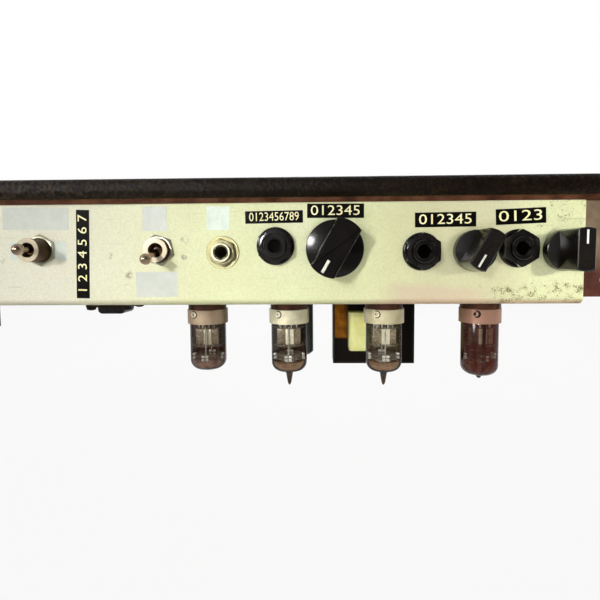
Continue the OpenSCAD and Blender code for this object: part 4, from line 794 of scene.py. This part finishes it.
def add_lever(switch, turn):
    """Lever at one end of its throw, its pivot ball at the joint; turn sets the plane of the throw."""
    half_throw = 15
    joint = PLACES[switch + "_lever_throw"]
    place, outward = facing(joint)
    pivot = abs(joint[1] - place[1])
    outline = [(0, -7.7), (1.4, -7.7), (1.5, -7.4), (1.5, -3.0)] + arc(0, 0, 3.3, -62, 62, 10)
    outline += [(1.5, 4.0), (1.3, 6.0), (1.35, 13.6)] + arc(0, 17.0, 2.75, -60, 88, 16) + [(0, 19.75)]
    lever = spun(outline, 40)
    pin = spun([(0, -5.4), (0.6, -5.4), (0.7, -5.2), (0.7, 5.2), (0.6, 5.4), (0, 5.4)], 16)
    pin.rotation_euler = (math.radians(90), 0, 0)
    lever = joined([lever, pin])
    throw = Matrix.Rotation(math.radians(half_throw), 4, "Y")
    stand = Matrix.Rotation(math.radians(turn), 4, "Z") @ Matrix.Translation((0, 0, pivot * MM))
    lever.data.transform(stand @ throw)
    finish_piece(lever, switch + "_bat", LEVER, switch + "_lever_body", place, outward)
    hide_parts(switch + "_lever")


add_lever("mode", 0)
add_lever("standby", -90)
add_lever("power", -90)


# Bar knobs

# Height of a knob's bar over its panel
KNOB_TOP = 21.5


def bar_knob(diameter, width):
    """Domed skirt with a full-width bar, its top edges rounded; +Z is out of the panel, pointer up +Y."""
    r, dome = diameter / 2, 1.6
    dome_r = (r * r + dome * dome) / (2 * dome)
    skirt = [(0, 6.6), (7.0, 6.6), (7.0, 2.0), (r - 0.8, 2.0), (r - 0.3, 2.2), (r, 2.8), (r, 6.3)]
    skirt.append((r - 0.15, 6.8))
    for i in range(9):
        ring_r = (r - 0.5) * (1 - i / 8)
        skirt.append((ring_r, 7.0 + dome - dome_r + math.sqrt(dome_r * dome_r - ring_r * ring_r)))
    base = spun(skirt, 72)
    bar_low = 6.0
    deselect()
    bpy.ops.mesh.primitive_cylinder_add(
        vertices=72, radius=(r - 0.15) * MM, depth=(KNOB_TOP - bar_low) * MM,
        location=(0, 0, (KNOB_TOP + bar_low) / 2 * MM))
    bar = bpy.context.object
    bpy.ops.object.transform_apply(location=True)
    bpy.ops.object.mode_set(mode="EDIT")
    for side in (-1, 1):
        bpy.ops.mesh.select_all(action="SELECT")
        edge = (side * width / 2 * MM, 0, KNOB_TOP * MM)
        bpy.ops.mesh.bisect(plane_co=edge, plane_no=(side, 0, 0.04), use_fill=True, clear_outer=True)
    bpy.ops.mesh.select_all(action="DESELECT")
    bpy.ops.object.mode_set(mode="OBJECT")
    for face in bar.data.polygons:
        face.select = face.normal.z > 0.9 and face.center.z > (KNOB_TOP - 1.5) * MM
    bpy.ops.object.mode_set(mode="EDIT")
    bpy.ops.mesh.select_mode(type="EDGE")
    bpy.ops.mesh.bevel(offset=0.8 * MM, segments=3, profile=0.6)
    bpy.ops.mesh.select_mode(type="VERT")
    bpy.ops.object.mode_set(mode="OBJECT")
    return joined([base, bar])


def pointer_line(diameter):
    """White line on the end of the bar, wider on a large knob."""
    line = block((1.4 if diameter > 25 else 0.95, 6.4, 0.3), 0.1, 2)
    line.location = scaled((0, diameter / 2 - 4.6, KNOB_TOP + 0.02))
    bpy.ops.object.transform_apply(location=True)
    return line


def add_knob(control, diameter, width, pointing, finish=KNOB):
    """Knob and its pointer line, turned to point somewhere."""
    body, line = bar_knob(diameter, width), pointer_line(diameter)
    place, outward = facing(PLACES[control + "_turn"])
    for piece, part, material in ((body, "_knob_body", finish), (line, "_knob_line", WHITE_LINE)):
        piece.data.transform(Matrix.Rotation(math.radians(pointing), 4, "Z"))
        finish_piece(piece, control + part, material, control + "_control", place, outward, 6.5)
    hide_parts(control + "_knob")


add_knob("reverb", 28.8, 12.4, 150)
add_knob("return", 20.6, 8.2, 150, GLOSSY_KNOB)
add_knob("send", 20.6, 8.2, 0, GLOSSY_KNOB)
add_knob("volume", 27.8, 12.4, 150)
add_knob("tone", 27.8, 12.4, 0)


# Valves, modelled hanging from their seat

def glass_outline(length, tip):
    """Outline of the bulb from its base down to the drawn tip."""
    r, shoulder = 11.1, 6.0
    outside = [(0, 0), (9.0, 0), (10.4, -0.7), (r, -2.4)]
    outside += arc(r - shoulder, -(length - shoulder), shoulder, 0, -78, 10)
    outside += [(3.0, -length - 0.06 * tip), (2.2, -length - 0.2 * tip), (1.7, -length - 0.5 * tip)]
    outside += [(1.2, -length - 0.8 * tip), (0.6, -length - 0.96 * tip), (0, -length - tip)]
    return outside


def flash_outline(length):
    """Thin closed shell just inside the dome."""
    r, shoulder = 10.0, 5.0
    skin = [(r, -(length - 7.6)), (r, -(length - 6.0))]
    skin += arc(r - shoulder + 0.1, -(length - 6.0), shoulder - 0.1, 0, -76, 8)
    skin += [(2.6, -length + 1.1), (0, -length + 0.8)]
    back = [(max(p[0] - 0.12, 0), p[1] + 0.12) for p in reversed(skin)]
    return skin + back + [skin[0]]


def mica_disc(height):
    """Spacer disc with a thin rounded rim."""
    thick = 0.5
    rim = [(9.2, height), (9.5, height - thick / 2), (9.2, height - thick)]
    return spun([(0, height)] + rim + [(0, height - thick)], 48)


def claw_ring(height):
    """Four pairs of claws with which an outer spacer presses on the bulb."""
    parts = []
    for turn in [90 * i + side for i in range(4) for side in (-7.5, 7.5)]:
        claw = block((1.8, 1.9, 1.5), 0.4, 2)
        angle = math.radians(turn)
        claw.location = scaled((9.0 * math.cos(angle), 9.0 * math.sin(angle), height - 0.25))
        claw.rotation_euler = (0, 0, angle)
        parts.append(claw)
    return joined(parts)


def anode_box(side, top, low):
    """Folded plate box with pressed ribs."""
    parts = [block((7.0, 6.8, top - low), 1.2, 3)]
    parts[0].location = scaled((side * 4.0, 0, (top + low) / 2))
    for i in range(3):
        rib = block((6.0, 7.3, 0.8), 0.3, 2)
        rib.location = scaled((side * 4.0, 0, low + (top - low) * (i + 1) / 4))
        parts.append(rib)
    return joined(parts)


def seam_strip(side, top, low):
    """Flange along the seam of an anode, front and back, whose near-white finish is a painted highlight."""
    parts = []
    for face in (-1, 1):
        strip = block((2.4, 1.3, top - low - 0.6), 0.25, 2)
        strip.location = scaled((side * 1.3 + 0.6, face * 4.0, (top + low) / 2))
        parts.append(strip)
    return joined(parts)


def wire_set(top, low, outer):
    """Pins, support rods, grid rods and the getter ring on its stem."""
    parts = []
    for i in range(1, 10):
        angle = math.radians(36 * i)
        pin = spun([(0, 6.5), (0.3, 6.4), (0.5, 6.0), (0.5, top), (0, top)], 12)
        pin.location = scaled((5.95 * math.cos(angle), 5.95 * math.sin(angle), 0))
        parts.append(pin)
    rods = [(0, y, outer - 0.6) for y in (7, -7)]
    rods += [(x, y, low - 1.4) for y in (0, 2, -2) for x in (3.2, -3.2)]
    for x, y, end in rods:
        rod = spun([(0, top + 0.9), (0.4, top + 0.8), (0.4, end + 0.1), (0, end)], 10)
        rod.location = scaled((x, y, 0))
        parts.append(rod)
    ring_r, ring_z = 4, outer - 2.3
    stem = spun([(0, outer), (0.4, outer), (0.4, ring_z), (0, ring_z)], 10)
    stem.location = scaled((ring_r, 0, 0))
    parts.append(stem)
    deselect()
    bpy.ops.mesh.primitive_torus_add(
        major_radius=ring_r * MM, minor_radius=0.5 * MM, major_segments=32, minor_segments=10,
        location=(0, 0, ring_z * MM))
    parts.append(bpy.context.object)
    return joined(parts)


def valve_kit(length, tip, stretch=0.0):
    """The pieces of one kind of valve, copied to its sockets."""
    top, low = -11.1, -21.6 - stretch
    outer = low - 6.2
    return {
        "bulb": spun(glass_outline(length, tip), 64),
        "flash": spun(flash_outline(length), 48),
        "micas": joined([mica_disc(height) for height in (top + 0.5, low, outer, outer - 2.1)]),
        "claws": joined([claw_ring(outer), claw_ring(outer - 2.1)]),
        "anodes": joined([anode_box(-1, top, low), anode_box(1, top, low)]),
        "seams": joined([seam_strip(-1, top, low), seam_strip(1, top, low)]),
        "wires": wire_set(top, low, outer - 2.1),
    }


def add_valve(name, length, glass, flash):
    """Copies the pieces of a kind of valve, told by its bulb's length, to a socket."""
    kit, place = KITS[length], (VALVE_X[name], ROW_Y, SEAT_Z)
    finishes = {
        "bulb": glass, "flash": flash, "micas": MICA, "claws": CLAW, "anodes": NICKEL, "seams": SEAM,
        "wires": WIRE,
    }
    for part, material in finishes.items():
        piece = finish_piece(copy_of(kit[part]), name + "_" + part, material, name, place, smooth=40)
        if part == "bulb":
            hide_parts(name + "_glass")
        if part == "wires":
            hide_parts(name + "_cage")


def add_eyelets(x):
    """Two eyelets on a shield collar: a rolled rim on a near-black crease disc, which is painted shade."""
    collar_r = 12.4
    for turn in (-118, 62):
        angle = math.radians(turn)
        rolled = [(1.75, -0.3), (1.75, 0.3), (1.5, 0.5), (1.2, 0.45), (0.95, 0.15), (0.95, -0.3)]
        rim = spun([(0.95, -0.3)] + rolled, 28)
        # The crease disc is near black: painted shade in the crease and in the hole
        crease = spun([(0, -0.3), (2.35, -0.3), (2.35, 0.02), (1.8, 0.14), (0.8, 0.14), (0, 0.1)], 28)
        place = (x + collar_r * math.cos(angle), ROW_Y + collar_r * math.sin(angle), DECK_Z - 11.4)
        around = (90, 0, turn + 90)
        rim_finish = OXIDE if x == VALVE_X["valve_4"] else EYELET
        finish_piece(rim, "eyelet_%d_%d" % (x, turn), rim_finish, HULL, place, around)
        finish_piece(crease, "eyelet_crease_%d_%d" % (x, turn), OXIDE, HULL, place, around)


for socket_x in VALVE_X.values():
    add_eyelets(socket_x)
# Lengths of the four kinds of bulb
SHORT, SMALL, LONG, TALL = 37.0, 38.5, 40.5, 58.0
KITS = {
    SHORT: valve_kit(SHORT, 1.2), SMALL: valve_kit(SMALL, 9.5), LONG: valve_kit(LONG, 3.0),
    TALL: valve_kit(TALL, 9.5, 19.5),
}
CLEAR = bulb_glass("aged_bulb_glass", "#4a3322", 0.12, 0.96, SMALL)
ROSE = bulb_glass("rose_bulb_glass", "#4f3024", 0.36, 0.97, SHORT)
AMBER = bulb_glass("amber_bulb_glass", "#561c0e", 0.7, 0.98, LONG)
TALL_CLEAR = bulb_glass("tall_bulb_glass", "#3a2b1c", 0.15, 0.7, TALL)
BROWN_FLASH = getter_flash("brown_silvering", "#b0855f", "#e0c09a", SMALL)
ROSE_FLASH = getter_flash("rose_silvering", "#d6a386", "#efd0b8", SHORT)
COPPER_FLASH = getter_flash("copper_silvering", "#d89a7e", "#ecc0a4", LONG)
TALL_FLASH = getter_flash("grey_silvering", "#4a463e", "#a5a193", TALL)
add_valve("valve_1", SHORT, ROSE, ROSE_FLASH)
add_valve("valve_2", SMALL, CLEAR, BROWN_FLASH)
add_valve("valve_3", SMALL, CLEAR, BROWN_FLASH)
add_valve("valve_4", LONG, AMBER, COPPER_FLASH)
add_valve("output_valve_1", TALL, TALL_CLEAR, TALL_FLASH)
add_valve("output_valve_2", TALL, TALL_CLEAR, TALL_FLASH)
for kit in KITS.values():
    deselect()
    for source in kit.values():
        source.select_set(True)
    bpy.ops.object.delete()


# Floor, world and lamps

def add_stage():
    """Pale floor that the camera and the reflections of what is behind see as white."""
    deselect()
    bpy.ops.mesh.primitive_plane_add(size=8, location=(0, 1.0, -0.19))
    floor = bpy.context.object
    floor.name = "floor"
    material, shader, coords = new_material("pale_floor")
    shader.inputs["Roughness"].default_value = 0.9
    clouds = node(material, "noise", coords, grain(333), 2, 0.55)
    shades = node(material, "ramp", clouds, stops=[(0.3, "#c9c7c2"), (0.7, "#d2d0cb")])
    link(material, shades, shader.inputs["Base Color"])
    rays = node(material, "rays")
    seen = node(material, "highest", rays["Is Camera Ray"], rays["Is Transmission Ray"])
    behind = node(material, "fade", node(material, "axes", coords)[1], -1.25, -0.95)
    mirrored = node(material, "multiply", rays["Is Glossy Ray"], behind)
    seen = node(material, "highest", seen, mirrored)
    white = node(material, "multiply", seen, 0.92)
    blend = node(material, "blend", white, shader.outputs[0], node(material, "glow"))
    link(material, blend, material.node_tree.nodes["Material Output"].inputs[0])
    floor.data.materials.append(material)


def add_world():
    """White to the camera; reflections see white behind the object and a room in front of it."""
    world = bpy.data.worlds.new("studio")
    bpy.context.scene.world = world
    world.use_nodes = True
    back = world.node_tree.nodes["Background"]
    link(world, "#ffffff", back.inputs["Color"])
    rays = node(world, "rays")
    ahead = node(world, "coordinates")["Generated"]
    x, y, z = node(world, "axes", ahead)
    # The room dims to the right, and a window stands in it at the left
    side = node(world, "fade", x, -0.6, 0.3, 0.7, 0.12)
    toward = node(world, "toward", ahead, (-0.78, -0.58, 0.23))
    window = node(world, "fade", toward, 0.982, 0.993, 0, 24)
    room = node(world, "fade", y, -0.5, 0.3, node(world, "add", side, window), 1)
    seen = node(world, "highest", rays["Is Camera Ray"], rays["Is Transmission Ray"])
    mirrored = node(world, "multiply", rays["Is Glossy Ray"], room)
    plain = node(world, "multiply", rays["Is Diffuse Ray"], 0.27)
    level = node(world, "highest", node(world, "highest", seen, mirrored), plain)
    link(world, level, back.inputs["Strength"])


def add_lamp(name, place, target, size, power, spread=180, mirrored=True):
    """Soft lamp aimed at a target, in metres and watts; mirrored says whether reflections show it."""
    aim = Vector(target) - Vector(place)
    bpy.ops.object.light_add(type="AREA", location=place, rotation=aim.to_track_quat("-Z", "Y").to_euler())
    lamp = bpy.context.object
    lamp.name = name
    lamp.data.shape = "RECTANGLE"
    lamp.data.size, lamp.data.size_y = size
    lamp.data.energy = power
    lamp.data.spread = math.radians(spread)
    lamp.visible_glossy = mirrored


add_stage()
add_world()
for number, aim_x, power in ((1, 0.1, 0.067), (2, -0.08, 0.039), (3, -0.27, 0.05)):
    add_lamp("key_softbox_%d" % number, (-0.2, -0.72, 0.13), (aim_x, 0, -0.03), (0.07, 0.09), power, 24)
add_lamp("low_softbox", (0.1, -0.5, -0.11), (0.1, 0.05, -0.06), (0.5, 0.1), 1.1, mirrored=False)
add_lamp("right_softbox", (0.61, -0.8, 0.1), (0.25, 0, 0), (0.015, 0.015), 0.032, 14, False)
add_lamp("rear_softbox", (0.2, 1.2, 0.7), (0, 0.1, 0), (0.8, 0.5), 6)
